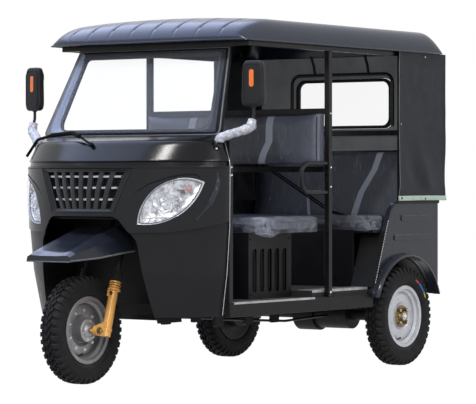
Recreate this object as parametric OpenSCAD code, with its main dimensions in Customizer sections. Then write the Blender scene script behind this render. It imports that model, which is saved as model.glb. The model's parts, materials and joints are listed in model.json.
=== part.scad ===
// Electric passenger tricycle, one front wheel steered by a fork, two rear wheels.
// Millimetres. Forward is -Y, the vehicle's left is +X, the ground is Z = 0.
// Lengths along the vehicle are counted from the front axle, then shifted to the middle.

/* [Running gear] */
// front axle to rear axle
wheelbase = 2000; // [1800:10:2300]
// middle of one rear tyre to the other
track = 1134; // [1000:2:1300]
// tyre outside diameter
tyre_od = 530; // [480:2:580]
// tyre section width
tyre_w = 108; // [90:1:125]
// tyre section height over the rim flange
tyre_h = 99.5; // [85:0.5:115]
// rim width over the flanges
rim_w = 84; // [70:1:96]
// steering axis lean from upright, degrees
rake = 16.5; // [10:0.5:24]
// steering axis behind the axle, at axle height
steer_y = 75; // [50:1:100]
// middle of one fork leg to the other
fork_span = 196; // [180:2:220]

/* [Body] */
// width over the side panels
body_w = 1200; // [1100:2:1320]
// top of the floor above the ground
floor_z = 396; // [340:2:440]
// underside of the door sills
sill_z = 327; // [280:1:360]
// top of the rear side panels
waist_z = 886; // [820:2:940]
// centre height of the groove round the nose
belt_z = 1078; // [1000:2:1140]
// front edge of the deck under the windscreen
deck_z = 1190; // [1150:2:1230]
// front of the mid posts behind the front axle
mid_post_y = 1283; // [1200:1:1360]
// gap between a tyre and its wheel arch
arch_gap = 57; // [45:1:80]
// gap between a rear wheel arch and the rear face of the corner posts
post_gap = 8; // [4:1:20]
// side of the square cabin tubes
post_t = 30; // [24:1:40]

/* [Roof] */
// roof lip outside the side panels
roof_over = 25; // [22:1:45]
// underside of the roof lip
roof_z = 1690; // [1600:2:1780]
// height of the roof edge over its lip
roof_h = 112; // [80:1:160]
// foremost point of the roof lip
roof_y0 = 455; // [380:5:540]
// roof lip behind the corner posts
roof_tail = 36; // [30:1:60]
// roof moulding thickness
roof_t = 11; // [6:1:16]
// number of lengthwise grooves
groove_n = 8; // [4:1:10]

/* [Seats] */
// top of both seat cushions
seat_z = 800; // [740:2:860]
// cushion thickness
cushion_t = 66; // [40:2:100]
// driver cushion inside the body's sides
driver_side = 100; // [60:5:150]
// front of the driver cushion
driver_y0 = 850; // [780:5:920]
// rear bench inside the body's sides
bench_side = 40; // [32:1:80]
// front of the bench cushion ahead of the rear axle
bench_fore = 262; // [230:2:290]

/* [Hidden] */
$fn = 48;
// sheet and running clearances
cl = 0.3;
wide_cl = 1;
// axle height
axle_z = tyre_od / 2;
rim_d = tyre_od - 2 * tyre_h;
half_track = track / 2;
half_w = body_w / 2;
// rear wheel arch and the corner posts behind it
arch_r = tyre_od / 2 + arch_gap;
rear_post_y = wheelbase + arch_r + post_gap;
// curtains hang outside the panels, behind everything else
curtain_off = 12;
curtain_x = half_w + curtain_off;
curtain_t = 6;
curtain_fore = 70;
curtain_tail = 75;
curtain_y0 = wheelbase - curtain_fore;
curtain_y1 = rear_post_y + curtain_tail;
batten_h = 27;
batten_t = 8;
// the part's own middle
mid_y = (curtain_y1 - tyre_od / 2) / 2;
// sheet thicknesses
skin = 6;
panel_t = 25;

// one curve through a table of [key, value...] rows
function mix(a, b, f) = a + (b - a) * f;
function row_at(table, k, i = 0) =
  i >= len(table) - 2 || k <= table[i + 1][0]
    ? mix(table[i], table[i + 1], (k - table[i][0]) / (table[i + 1][0] - table[i][0]))
    : row_at(table, k, i + 1);

module block(lo, hi) { translate(lo) cube(hi - lo); }
module both() { children(); mirror([1, 0, 0]) children(); }
// an outline drawn as (y, z), pushed from x0 to x1
module along_x(x0, x1) { translate([x0, 0, 0]) rotate([90, 0, 90]) linear_extrude(x1 - x0) children(); }
// an outline drawn as (x, z), pushed from y0 to y1
module along_y(y0, y1) { translate([0, y1, 0]) rotate([90, 0, 0]) linear_extrude(y1 - y0) children(); }
// round bar between two points
module rod(p, q, r) {
  d = q - p;
  flat = norm([d[0], d[1]]);
  translate(p) rotate([0, atan2(flat, d[2]), atan2(d[1], d[0])]) cylinder(h = norm(d), r = r);
}
// bent round bar through a list of points, one ring of sides at each; no length runs along the level direction
bar_sides = 16;
function unit(v) = v / norm(v);
module bent_rod(points, r, level) {
  last = len(points) - 1;
  n = bar_sides;
  dirs = [for (i = [0 : last]) unit(points[min(i + 1, last)] - points[max(i - 1, 0)])];
  us = [for (d = dirs) unit(cross(d, level))];
  rings = [for (i = [0 : last]) for (j = [0 : n - 1])
    points[i] + r * (us[i] * cos(360 * j / n) + cross(dirs[i], us[i]) * sin(360 * j / n))];
  sides = [for (i = [0 : last - 1]) for (j = [0 : n - 1]) let (k = (j + 1) % n)
    [i * n + j, (i + 1) * n + j, (i + 1) * n + k, i * n + k]];
  polyhedron(rings, concat(sides, [[for (j = [0 : n - 1]) j]], [[for (j = [n - 1 : -1 : 0]) last * n + j]]));
}
// rounded outline
module soft_rect(w, h, r) {
  hull() for (sx = [-1, 1], sy = [-1, 1])
    translate([sx * (w / 2 - r), sy * (h / 2 - r)]) circle(r, $fn = 24);
}

// a thick sheet from an outer and an inner grid of points, both m rows of n
module sheet(outer, inner) {
  m = len(outer);
  n = len(outer[0]);
  k = m * n;
  pts = concat([for (r = outer) for (p = r) p], [for (r = inner) for (p = r) p]);
  function at(i, j) = i * n + j;
  top = [for (i = [0 : m - 2]) for (j = [0 : n - 2]) each [
    [at(i, j), at(i + 1, j), at(i + 1, j + 1)], [at(i, j), at(i + 1, j + 1), at(i, j + 1)]]];
  low = [for (f = top) [f[2] + k, f[1] + k, f[0] + k]];
  ends = [for (i = [0 : m - 2]) each [
    [at(i, 0), at(i, 0) + k, at(i + 1, 0) + k], [at(i, 0), at(i + 1, 0) + k, at(i + 1, 0)],
    [at(i, n - 1), at(i + 1, n - 1), at(i + 1, n - 1) + k],
    [at(i, n - 1), at(i + 1, n - 1) + k, at(i, n - 1) + k]]];
  sides = [for (j = [0 : n - 2]) each [
    [at(0, j), at(0, j + 1), at(0, j + 1) + k], [at(0, j), at(0, j + 1) + k, at(0, j) + k],
    [at(m - 1, j), at(m - 1, j) + k, at(m - 1, j + 1) + k],
    [at(m - 1, j), at(m - 1, j + 1) + k, at(m - 1, j + 1)]]];
  polyhedron(pts, concat(top, low, ends, sides));
}

// nose form by height: half width, end of the sides, depth, roundness
nose_y1 = 410;
nose_deep = 430;
apron_z = sill_z + 3 * wide_cl;
nose_tuck = 10;
seam_z = 765;
nose_wide_shares = [0.9333, 0.975, 0.995, 1, 0.9467];
nose_deep_shares = [0.9302, 0.9721, 0.9953, 1, 0.786];
nose_round_shares = [1.5, 1.75, 1.88, 1.9, 1.9];
nose_zs = [apron_z, mix(apron_z, seam_z, 0.5), seam_z, belt_z, deck_z];
nose_ends = [nose_y1 - nose_tuck, nose_y1 - nose_tuck / 2, nose_y1, nose_y1, nose_y1];
nose_rows = [for (i = [0 : len(nose_zs) - 1]) [nose_zs[i], half_w * nose_wide_shares[i], nose_ends[i],
  nose_deep * nose_deep_shares[i], nose_round_shares[i]]];
function nose_pt(a, z, off) =
  let (r = row_at(nose_rows, z), e = 2 / r[4], sx = a < 0 ? -1 : 1)
  [sx * (r[1] - off) * pow(abs(sin(a)), e), r[2] - (r[3] - off) * pow(max(cos(a), 0), e), z];
nose_as = [for (i = [-14 : 14]) 90 * i / 14];
// levels are [height, inset] pairs from the bottom up
module nose_skin(levels, depth) {
  sheet([for (a = nose_as) [for (l = levels) nose_pt(a, l[0], l[1])]],
        [for (a = nose_as) [for (l = levels) nose_pt(a, l[0], l[1] + depth)]]);
}

// front wheel opening, seen from the front
arch_top_z = 822;
arch_top_x = 235;
arch_mid_z = 740;
arch_mid_x = 298;
arch_low_x = 345;
arch_round = 60;
arch_back = 350;
module arch_outline() {
  hull() {
    both2() translate([arch_top_x - arch_round, arch_top_z - arch_round]) circle(arch_round);
    both2() translate([arch_mid_x - arch_round, arch_mid_z - arch_round]) circle(arch_round);
    both2() translate([arch_low_x - cl, sill_z - 2 * panel_t]) square(cl);
  }
}
module both2() { children(); mirror([1, 0]) children(); }
module arch_cut() { along_y(-half_w, arch_back) arch_outline(); }

// headlamp leaf, in a plane square to the lamp's own direction
lamp_az = 38;
lamp_in = 154;
lamp_y = 135.5;
lamp_drop = 192;
lamp_at = [half_w - lamp_in, lamp_y, belt_z - lamp_drop];
lamp_len = 389;
lamp_rise = 32;
lamp_bulge_up = 104;
lamp_bulge_low = 70;
module lamp_outline(gap) {
  h = lamp_len / 2;
  ru = (h * h + lamp_bulge_up * lamp_bulge_up) / (2 * lamp_bulge_up);
  rl = (h * h + lamp_bulge_low * lamp_bulge_low) / (2 * lamp_bulge_low);
  rotate(lamp_rise) intersection() {
    translate([0, lamp_bulge_up - ru]) circle(ru - gap);
    translate([0, rl - lamp_bulge_low]) circle(rl - gap);
  }
}
module lamp_prism(gap) {
  translate(lamp_at) rotate([0, 0, lamp_az]) along_y(-half_w, panel_t * 5) lamp_outline(gap);
}

// groove round the nose
groove_h = 22;
groove_d = 10;

// grille opening, seen from the front
grille_in = 315;
grille_taper = 89;
grille_top = half_w - grille_in;
grille_low = grille_top - grille_taper;
grille_h = 214;
grille_z1 = belt_z - groove_h;
grille_z0 = grille_z1 - grille_h;
module grille_outline(gap) {
  polygon([[-grille_low + gap, grille_z0 + gap], [grille_low - gap, grille_z0 + gap],
    [grille_top - gap, grille_z1 - gap], [-grille_top + gap, grille_z1 - gap]]);
}

module nose_panel() color("#141518") difference() {
  nose_skin([[seam_z + cl, 0], [seam_z + panel_t, 0], [mix(seam_z, belt_z, 0.5), 0],
    [belt_z - groove_h / 2 - cl, 0]], skin);
  arch_cut();
  both() lamp_prism(0);
  along_y(-half_w, mix(0, nose_y1, 0.5)) grille_outline(0);
}
cowl_levels = [[belt_z - groove_h / 2, groove_d], [belt_z + groove_h / 2, groove_d],
  [belt_z + groove_h / 2 + wide_cl, 0], [mix(belt_z, deck_z, 0.55), 0], [deck_z, 0]];
// the deck runs from the cowl's top edge back to the foot of the windscreen
deck_in_share = 0.97;
function deck_pt(a) = let (p = nose_pt(a, deck_z, 0), y = max(glass_y - cl, p[1] + cl))
  [p[0] * deck_in_share, y, glass_z - wide_cl - max(0, y - glass_y) * tan(screen_lean)];
function cowl_in(a, l) = nose_pt(a, l[0], l[1] + skin) - [0, 0, l[0] >= deck_z ? skin : 0];
module cowl() color("#17181b") {
  sheet([for (a = nose_as) concat([for (l = cowl_levels) nose_pt(a, l[0], l[1])], [deck_pt(a)])],
        [for (a = nose_as) concat([for (l = cowl_levels) cowl_in(a, l)], [deck_pt(a) - [0, 0, skin]])]);
}
module aprons() color("#131417") difference() {
  nose_skin([[apron_z, skin], [mix(apron_z, seam_z, 0.33), skin], [mix(apron_z, seam_z, 0.66), skin],
    [seam_z, skin]], skin);
  arch_cut();
}

// headlamp unit: a lens standing proud of the nose, with its bowl behind
lamp_proud = 9;
lamp_deep = 26;
lamp_gap = 0.6;
module lamp_unit() intersection() {
  nose_skin([[seam_z - panel_t, -lamp_proud], [mix(seam_z, belt_z, 0.5), -lamp_proud],
    [belt_z, -lamp_proud]], lamp_proud + lamp_deep);
  lamp_prism(lamp_gap);
}
module headlamps() color("#c9ced6") both() lamp_unit();

// grille: a bent frame, upright bars and cross bars
grille_bars = 8;
bar_w = 22;
cross_n = 3;
cross_h = 7;
grille_edge = 14;
grille_r = 766;
grille_y = nose_y1 - nose_deep;
grille_deep = 30;
module bent_band(inset, deep) {
  translate([0, grille_y + grille_r, 0]) linear_extrude(deck_z) difference() {
    circle(grille_r - inset, $fn = 180);
    circle(grille_r - inset - deep, $fn = 180);
    translate([-grille_r, 0]) square([2 * grille_r, grille_r]);
  }
}
module grille() color("#0d0d0f") {
  intersection() {
    bent_band(skin, grille_deep);
    along_y(-half_w, half_w) difference() { grille_outline(lamp_gap); grille_outline(grille_edge); }
  }
  intersection() {
    bent_band(skin, grille_deep / 2);
    along_y(-half_w, half_w) intersection() {
      grille_outline(grille_edge - cl);
      for (i = [0 : grille_bars - 1]) {
        f = (i + 1) / (grille_bars + 1) * 2 - 1;
        polygon([[f * grille_low - bar_w / 2, grille_z0], [f * grille_low + bar_w / 2, grille_z0],
          [f * grille_top + bar_w / 2, grille_z1], [f * grille_top - bar_w / 2, grille_z1]]);
      }
    }
  }
  intersection() {
    bent_band(skin + grille_deep / 2, grille_deep / 2);
    along_y(-half_w, half_w) intersection() {
      grille_outline(grille_edge - cl);
      for (i = [1 : cross_n]) translate([-half_w, mix(grille_z0, grille_z1, i / (cross_n + 1))])
        square([body_w, cross_h]);
    }
  }
}

// windscreen: frame and pane leaning back from the deck
glass_y = 376;
glass_up = 32;
glass_z = deck_z + glass_up;
screen_h = 480;
screen_lean = 24.3;
screen_in = 40;
screen_taper = 82;
screen_low = half_w - screen_in;
screen_top = screen_low - screen_taper;
screen_t = 28;
pane_t = 5;
pillar_low = 84;
pillar_top = 52;
screen_bar = 34;
pane_edge = 26;
module screen_place() { translate([0, glass_y, glass_z]) rotate([-screen_lean, 0, 0]) children(); }
module screen_outline(low, top, h0, h1) { polygon([[-low, h0], [low, h0], [top, h1], [-top, h1]]); }
module windscreen_frame() color("#22252c") screen_place() along_y(0, screen_t) difference() {
  screen_outline(screen_low, screen_top, 0, screen_h);
  screen_outline(screen_low - pillar_low, screen_top - pillar_top, screen_bar, screen_h - screen_bar);
}
module windscreen() color([0.8, 0.85, 0.88, 0.35]) screen_place() along_y(-pane_t - cl, -cl)
  screen_outline(screen_low - pane_edge, screen_top - pane_edge / 2, pane_edge / 2, screen_h - pane_edge / 2);

// cabin tubes
rail_drop = 25;
roof_rail_z = roof_z - rail_drop;
front_post_y = nose_y1 + cl;
post_x1 = half_w - 2 * wide_cl;
post_x0 = post_x1 - post_t;
screen_y = glass_y + screen_h * sin(screen_lean) + screen_t * cos(screen_lean);
screen_z = glass_z + screen_h * cos(screen_lean);
quarter_fore = 15;
quarter_y = wheelbase - quarter_fore;
// uprights, then the cross tubes that the backrest and the rear wall hang on
module cabin_posts() color("#101113") {
  both() {
    block([post_x0, front_post_y, floor_z], [post_x1, front_post_y + post_t, glass_z - skin]);
    block([post_x0, mid_post_y, floor_z], [post_x1, mid_post_y + post_t, roof_rail_z]);
    for (y = [quarter_y, rear_post_y - post_t])
      block([post_x0, y, waist_z], [post_x1, y + post_t, roof_rail_z]);
  }
  for (z = [rail_top_z, rail_low_z])
    block([-post_x0 + cl, mid_post_y, z], [post_x0 - cl, mid_post_y + post_t, z + post_t]);
  block([-post_x0 + cl, rear_post_y - post_t, window_bar_z - post_t / 2],
    [post_x0 - cl, rear_post_y, window_bar_z + post_t / 2 - wide_cl]);
}
header_y = screen_y - screen_t;

// roof: a moulded sheet, edges rounded by an elliptic run-out
roof_w = body_w + 2 * roof_over;
roof_y1 = rear_post_y + roof_tail;
roof_round = 78;
front_run = 300;
rear_run = 130;
roof_bow = 22;
corner_cut = 60;
groove_w = 13;
groove_deep = 7;
edge_phi = [0, 12, 26, 42, 60, 90];
half_roof = roof_w / 2;
groove_pitch = (roof_w - 2 * roof_round) / groove_n;
function run(d, r) = d >= r ? 1 : sqrt(max(0, 1 - pow(1 - d / r, 2)));
edge_xs = [for (p = edge_phi) half_roof - roof_round * (1 - cos(p))];
groove_xs = [for (i = [0 : groove_n - 1]) (i - (groove_n - 1) / 2) * groove_pitch];
ribbed_xs = concat([for (x = edge_xs) -x],
  [for (g = groove_xs) each [g - groove_w, g - groove_w / 3, g + groove_w / 3, g + groove_w]],
  [for (i = [5 : -1 : 0]) edge_xs[i]]);
front_ds = [0, 6, 22, 50, 90, 140, 210, front_run];
rear_ds = [0, 8, 30, 70, rear_run];
function in_groove(x) = len([for (g = groove_xs) if (abs(x - g) < groove_w / 2) 1]) > 0;
function lip_y0(x) = roof_y0 + corner_cut * pow(abs(x) / half_roof, 4);
function roof_pt(x, v, drop, grooved) =
  let (y0 = lip_y0(x), y = v[0] == 0 ? y0 + v[1] : v[0] == 1 ? mix(y0 + front_run, roof_y1 - rear_run, v[1])
      : roof_y1 - v[1],
    e = run(half_roof - abs(x), roof_round)
      * (v[0] == 0 ? run(v[1], front_run) : v[0] == 1 ? 1 : run(v[1], rear_run)),
    crown = roof_bow * (1 - pow(x / half_roof, 2)))
  [x, y, roof_z + e * (roof_h - drop + crown - (grooved && in_groove(x) ? groove_deep : 0))];
roof_vs = concat([for (d = front_ds) [0, d]], [[1, 0.5]], [for (i = [4 : -1 : 0]) [2, rear_ds[i]]]);
roof_k = (half_roof - roof_t) / half_roof;
function inner_roof(x, v) = let (p = roof_pt(x, v, roof_t, false))
  [p[0] * roof_k, mix(roof_y0 + roof_t, roof_y1 - roof_t, (p[1] - roof_y0) / (roof_y1 - roof_y0)), p[2]];
module roof_shell() color("#15171f") {
  sheet([for (v = roof_vs) [for (x = ribbed_xs) roof_pt(x, v, 0, true)]],
        [for (v = roof_vs) [for (x = ribbed_xs) inner_roof(x, v)]]);
}
// bows between the side rails carry the roof from below
bow_t = 25;
bow_h = 28;
function bow_top(x) = inner_roof(x / roof_k, [1, 0.5])[2] - cl;
bow_xs = [for (x = ribbed_xs) if (abs(x * roof_k) < post_x1 - cl) x * roof_k];
module bow() {
  ends = concat([-post_x1], bow_xs, [post_x1]);
  up = [for (x = ends) [x, bow_top(x) - (abs(x) < post_x1 ? 0 : 2 * wide_cl)]];
  low = [for (i = [len(ends) - 1 : -1 : 0]) if (abs(ends[i]) < post_x0) [ends[i], bow_top(ends[i]) - bow_h]];
  foot = roof_rail_z + post_t + cl;
  polygon(concat([[-post_x1, foot]], up, [[post_x1, foot], [post_x0, foot]], low, [[-post_x0, foot]]));
}
bow_ys = [roof_y0 + corner_cut + front_run + bow_t, mid_post_y, quarter_y,
  roof_y1 - rear_run - roof_t - 2 * bow_t];
module roof_frame() color("#101113") {
  both() {
    block([post_x0, header_y + post_t, roof_rail_z], [post_x1, rear_post_y, roof_rail_z + post_t]);
    block([screen_top + cl, header_y, roof_rail_z], [post_x1, header_y + post_t - cl, roof_rail_z + post_t]);
  }
  block([-screen_top, header_y, screen_z + cl], [screen_top, header_y + post_t, roof_rail_z + post_t]);
  for (y = bow_ys) along_y(y, y + bow_t) bow();
}

// wall behind the front wheel
wall_y = 345;
wall_t = 8;

// floor, sills and ladder frame
floor_t = 12;
sill_t = post_t;
floor_y0 = wall_y + wall_t + cl;
floor_end = 245;
floor_y1 = wheelbase - floor_end;
box_y1 = 1170;
step_y0 = box_y1 + wide_cl;
step_h = 34;
step_end = 308;
step_y1 = wheelbase - step_end;
sill_end = 300;
sill_y1 = wheelbase - sill_end;
wall_in = 130;
wall_low = half_w - wall_in;
rail_x = 305;
rail_w = 50;
rail_h = 62;
kick_y = floor_y1 + skin;
kick_run = 95;
kick_h = 98;
rail_y1 = rear_post_y - skin;
floor_low = floor_z - floor_t;
module sills() color("#26272a") both()
  block([half_w - sill_t, front_post_y, sill_z], [half_w, sill_y1, floor_z]);
module floor_pan() color("#2a2b2d") {
  block([-wall_low, floor_y0, floor_low], [wall_low, floor_y1, floor_z]);
  block([-half_w + sill_t + cl, front_post_y, floor_low], [half_w - sill_t - cl, floor_y1, floor_z]);
  block([-post_x0 + cl, step_y0, floor_low], [post_x0 - cl, step_y1, floor_z + step_h]);
}
module rail_side() polygon([[floor_y0, floor_low - rail_h], [kick_y, floor_low - rail_h],
  [kick_y + kick_run, floor_low - rail_h + kick_h], [rail_y1, floor_low - rail_h + kick_h],
  [rail_y1, floor_low + kick_h], [kick_y + kick_run, floor_low + kick_h], [kick_y, floor_low],
  [floor_y0, floor_low]]);
cross_t = 40;
cross_fore = 30;
cross_end = 440;
cross_ys = [floor_y0, driver_y0 - cross_fore, mid_post_y - 2 * post_t, wheelbase - cross_end];
cross_in = rail_x - rail_w / 2 - cl;
cross_out = rail_x + rail_w / 2 + cl;
// tow plate with its bolt holes on the last crossmember
tow_w = 240;
tow_h = 80;
tow_t = 6;
tow_pitch = [160, 40];
tow_hole = 11;
tow_y = rail_y1 + tow_t - cl;
tow_z = floor_low + kick_h - rail_h / 2;
module tow_plate() difference() {
  union() {
    block([-tow_w / 2, rail_y1 - tow_t, tow_z - tow_h / 2], [tow_w / 2, tow_y, tow_z + tow_h / 2]);
    block([-cross_in, rail_y1 - cross_t, tow_z - rail_h / 2], [cross_in, rail_y1, tow_z + rail_h / 2]);
  }
  for (sx = [-1, 1], sz = [-1, 1])
    translate([sx * tow_pitch[0] / 2, tow_y - 2 * cross_t, tow_z + sz * tow_pitch[1] / 2])
      rotate([-90, 0, 0]) cylinder(h = 3 * cross_t, d = tow_hole);
}
module chassis_frame() color("#18191b") {
  both() along_x(rail_x - rail_w / 2, rail_x + rail_w / 2) rail_side();
  for (y = cross_ys) {
    block([-cross_in, y, sill_z], [cross_in, y + cross_t, floor_low]);
    if (y > front_post_y) both()
      block([cross_out, y, sill_z], [half_w - sill_t - cl, y + cross_t, floor_low]);
  }
  tow_plate();
}

// bulkhead behind the front wheel and its shelf under the nose
fork_room = 543;
shelf_z = axle_z + fork_room;
wall_spread = 65;
wall_top = wall_low + wall_spread;
shelf_front = 230;
head_r = 30;
stem_r = 21;
// wall behind the wheel, shelf over it and the dash wall standing on the shelf
dash_y = 200;
dash_in = 170;
dash_x = half_w - dash_in;
module front_bulkhead() color("#121315") difference() {
  union() {
    block([-dash_x, dash_y, shelf_z], [dash_x, dash_y + wall_t, deck_z - skin - panel_t]);
    along_y(wall_y, wall_y + wall_t) polygon([[-wall_low, floor_low], [wall_low, floor_low],
      [wall_top, shelf_z + wall_t], [-wall_top, shelf_z + wall_t]]);
    translate([0, 0, shelf_z]) linear_extrude(wall_t) polygon([[-shelf_front, mix(0, wall_y, 0.14)],
      [shelf_front, mix(0, wall_y, 0.14)], [wall_low, wall_y + cl], [-wall_low, wall_y + cl]]);
  }
  steer() translate([0, 0, head_z0 - panel_t]) cylinder(h = head_z1, r = head_r + cl);
}
// steering axis frame
module steer() { translate([0, steer_y, axle_z]) rotate([-rake, 0, 0]) children(); }
head_z0 = 560;
head_z1 = 760;
post_y1 = wall_y + wall_t + cl;
column_t = 60;
neck_t = 48;
module steering_head() color("#141517") {
  difference() {
    union() {
      steer() translate([0, 0, head_z0]) cylinder(h = head_z1 - head_z0, r = head_r);
      intersection() {
        steer() translate([-neck_t / 2, 0, head_z0 + panel_t])
          cube([neck_t, wall_y, head_z1 - head_z0 - 2 * panel_t]);
        block([-column_t, 0, shelf_z + wall_t + cl], [column_t, post_y1 + column_t, deck_z]);
      }
      block([-column_t / 2, post_y1, floor_z], [column_t / 2, post_y1 + column_t, shelf_z + 3 * column_t]);
    }
    steer() translate([0, 0, head_z0 - panel_t]) cylinder(h = 2 * head_z1, r = stem_r + cl);
  }
}

// fork, turning with the handlebar
leg_x = fork_span / 2;
leg_r = 23;
leg_z0 = -34;
leg_z1 = 216;
tube_r = 16;
yoke_z = 430;
yoke_t = 34;
boot_r = 25;
boot_z1 = 300;
axle_r = 8;
axle_half = 128;
lug_r = 24;
stem_top = 820;
// the axle seen from the steering frame
axle_ly = -steer_y * cos(rake);
axle_lz = -steer_y * sin(rake);
// the axle joins both legs
module fork_legs() color("#b9822c") {
  steer() both() {
    translate([leg_x, 0, leg_z0]) cylinder(h = leg_z1 - leg_z0, r = leg_r);
    along_x(leg_x - leg_r / 2, leg_x + leg_r / 2) hull() {
      translate([axle_ly, axle_lz]) circle(lug_r);
      translate([0, leg_z0 + leg_r]) circle(leg_r - wide_cl);
      translate([0, leg_r]) circle(leg_r - wide_cl);
    }
  }
  translate([-axle_half, 0, axle_z]) rotate([0, 90, 0]) cylinder(h = 2 * axle_half, r = axle_r);
}
bar_r = 11;
grip_r = 16;
bar_half = 350;
grip_len = 125;
bar_up = 34;
bar_back = 128;
clamp_t = 44;
grip_z = stem_top + 2 * bar_up;
bend_x = clamp_t + bar_up;
bar_z = stem_top + clamp_t / 2;
// the slanted bars run on a little into the crossbar and the grips
bar_lap = 0.04;
module handlebar() color("#131416") steer() {
  translate([-clamp_t, -clamp_t / 2, stem_top + cl]) cube([2 * clamp_t, clamp_t, clamp_t]);
  rod([-bend_x - bar_r / 2, 0, bar_z], [bend_x + bar_r / 2, 0, bar_z], bar_r);
  both() {
    knee_a = [bend_x, 0, bar_z];
    knee_b = [bar_half - grip_len, bar_back, grip_z];
    rod(mix(knee_a, knee_b, -bar_lap), mix(knee_a, knee_b, 1 + bar_lap), bar_r * 0.95);
    rod(knee_b, [bar_half, bar_back + bar_up, grip_z], grip_r);
  }
}

// front fender: folded shell, carried by the yoke
fender_w = 138;
fender_t = 4;
// places along the fender, its widths there, and its heights over the axle
fender_ys = [-250, -215, -60, 130, 170];
fender_wide_shares = [0.97, 1, 1, 0.93, 0.9];
fender_crown_shares = [0.86, 0.8, 0.66, 0.7, 0.66];
fender_edges = [347, 349, 357, 375, 381];
fender_shoulders = [365, 375, 411, 451, 441];
fender_crowns = [369, 387, 441, 499, 481];
fender_rows = [for (i = [0 : len(fender_ys) - 1]) [fender_ys[i], fender_wide_shares[i],
  fender_crown_shares[i], axle_z + fender_edges[i], axle_z + fender_shoulders[i], axle_z + fender_crowns[i]]];
function fender_sec(r, in) = let (w = r[1] * fender_w - in, c = r[2] * fender_w - in * 0.6)
  [[-w, r[0], r[3]], [-w, r[0], r[4] - in * 0.6], [-c, r[0], r[5] - in], [c, r[0], r[5] - in],
   [w, r[0], r[4] - in * 0.6], [w, r[0], r[3]]];
module front_fender() color("#15171d") {
  difference() {
    union() {
      sheet([for (r = fender_rows) fender_sec(r, 0)], [for (r = fender_rows) fender_sec(r, fender_t)]);
      // front lip closes the nose of the fender
      along_y(fender_rows[0][0], fender_rows[0][0] + fender_t)
        polygon([for (p = fender_sec(fender_rows[0], 0)) [p[0], p[2]]]);
    }
    steer() translate([0, 0, yoke_z]) cylinder(h = stem_top, r = head_r + 3 * skin);
  }
}
// the stay reaches forward from the yoke to the underside of the fender's crown
stay_y = [40, 118];
stay_half = 42;
stay_back = 196;
stay_up = 411;
stay_foot = [stay_back, axle_z + stay_up];
function crown_at(y) = row_at(fender_rows, y)[5] - fender_t - cl;
module fork_crown() color("#17181a") {
  steer() {
    translate([0, 0, yoke_z]) linear_extrude(yoke_t) hull() {
      both2() translate([leg_x, 0]) circle(boot_r);
      circle(head_r + skin);
    }
    translate([0, 0, yoke_z]) cylinder(h = stem_top - yoke_z, r = stem_r);
    both() {
      translate([leg_x, 0, leg_z1 + cl]) cylinder(h = yoke_z - leg_z1, r = tube_r);
      translate([leg_x, 0, leg_z1 + cl]) cylinder(h = boot_z1 - leg_z1, r = boot_r);
    }
  }
  along_x(-stay_half, stay_half) polygon([[stay_y[0], crown_at(stay_y[0])],
    [stay_y[1], crown_at(stay_y[1])], stay_foot + [0, yoke_t / 2], stay_foot,
    [stay_y[0], crown_at(stay_y[0]) - 2 * skin]]);
}

// wheels, drawn on the X axis
tread_h = 9;
tread_w = 84;
tyre_wall = 11;
bead_in = 13.5;
well_in = 28.5;
bead_r = rim_d / 2 - bead_in;
well_r = rim_d / 2 - well_in;
rim_t = 4;
module turned() { rotate([0, 90, 0]) rotate_extrude($fn = 96) children(); }
module tyre() turned() difference() {
  union() {
    translate([tyre_od / 2 - tread_h - tyre_w / 2, 0]) circle(tyre_w / 2, $fn = 64);
    translate([tyre_od / 2 - 3 * tread_h, -tread_w / 2]) square([3 * tread_h - tread_h / 2, tread_w]);
    translate([tyre_od / 2 - tread_h, -tread_w / 2 + tread_h]) square([tread_h, tread_w - 2 * tread_h]);
  }
  translate([tyre_od / 2 - tread_h - tyre_w / 2, 0]) circle(tyre_w / 2 - tyre_wall, $fn = 64);
  translate([-cl, -tyre_w]) square([bead_r + 2 * cl, 2 * tyre_w]);
  for (s = [-1, 1]) translate([0, s > 0 ? rim_w / 2 - rim_t - cl : -rim_w])
    square([rim_d / 2 + cl, rim_w / 2 + rim_t + cl]);
  translate([0, -tyre_w / 5]) square([tyre_od / 2 - tyre_w / 2, 2 * tyre_w / 5]);
}
module barrel() {
  f = rim_w / 2;
  b = bead_r;
  polygon([[rim_d / 2, -f], [rim_d / 2, -f + rim_t], [b, -f + rim_t], [b, -f / 2],
    [well_r, -f / 3], [well_r, f / 3], [b, f / 2], [b, f - rim_t], [rim_d / 2, f - rim_t],
    [rim_d / 2, f], [b - rim_t, f], [b - rim_t, f / 2 + rim_t], [well_r - rim_t, f / 3 + rim_t],
    [well_r - rim_t, -f / 3 - rim_t], [b - rim_t, -f / 2 - rim_t], [b - rim_t, -f]]);
}
disc_t = 5;
hub_flange_r = 62;
// dished disc: [radius share of the well, offset]
module disc(bore, out) {
  r = well_r - rim_t + cl;
  polygon([[r, out - 3 * disc_t], [r, out - disc_t], [0.86 * r, out + disc_t],
    [0.6 * r, out + disc_t], [0.48 * r, out - disc_t], [bore, out - disc_t],
    [bore, out - 2 * disc_t], [0.5 * r, out - 2 * disc_t], [0.62 * r, out], [0.84 * r, out]]);
}
hub_bore = 20;
bore_deep = 9;
rear_out = 16;
stud_n = 4;
stud_r = 7;
stud_circle = 46;
cap_r = 27;
cap_t = 24;
module rear_rim() color("#b3b6bb") {
  turned() { barrel(); disc(hub_bore, rear_out); }
  translate([rear_out - 2 * disc_t, 0, 0]) rotate([0, 90, 0]) {
    difference() {
      union() {
        cylinder(h = disc_t * 2.6, r = hub_flange_r);
        cylinder(h = cap_t + disc_t, r = cap_r);
      }
      translate([0, 0, -bore_deep]) cylinder(h = 2 * bore_deep, r = hub_bore);
    }
    for (i = [0 : stud_n - 1]) rotate((i + 0.5) * 360 / stud_n) translate([stud_circle, 0, 0])
      cylinder(h = cap_t, r = stud_r);
  }
}
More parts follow.
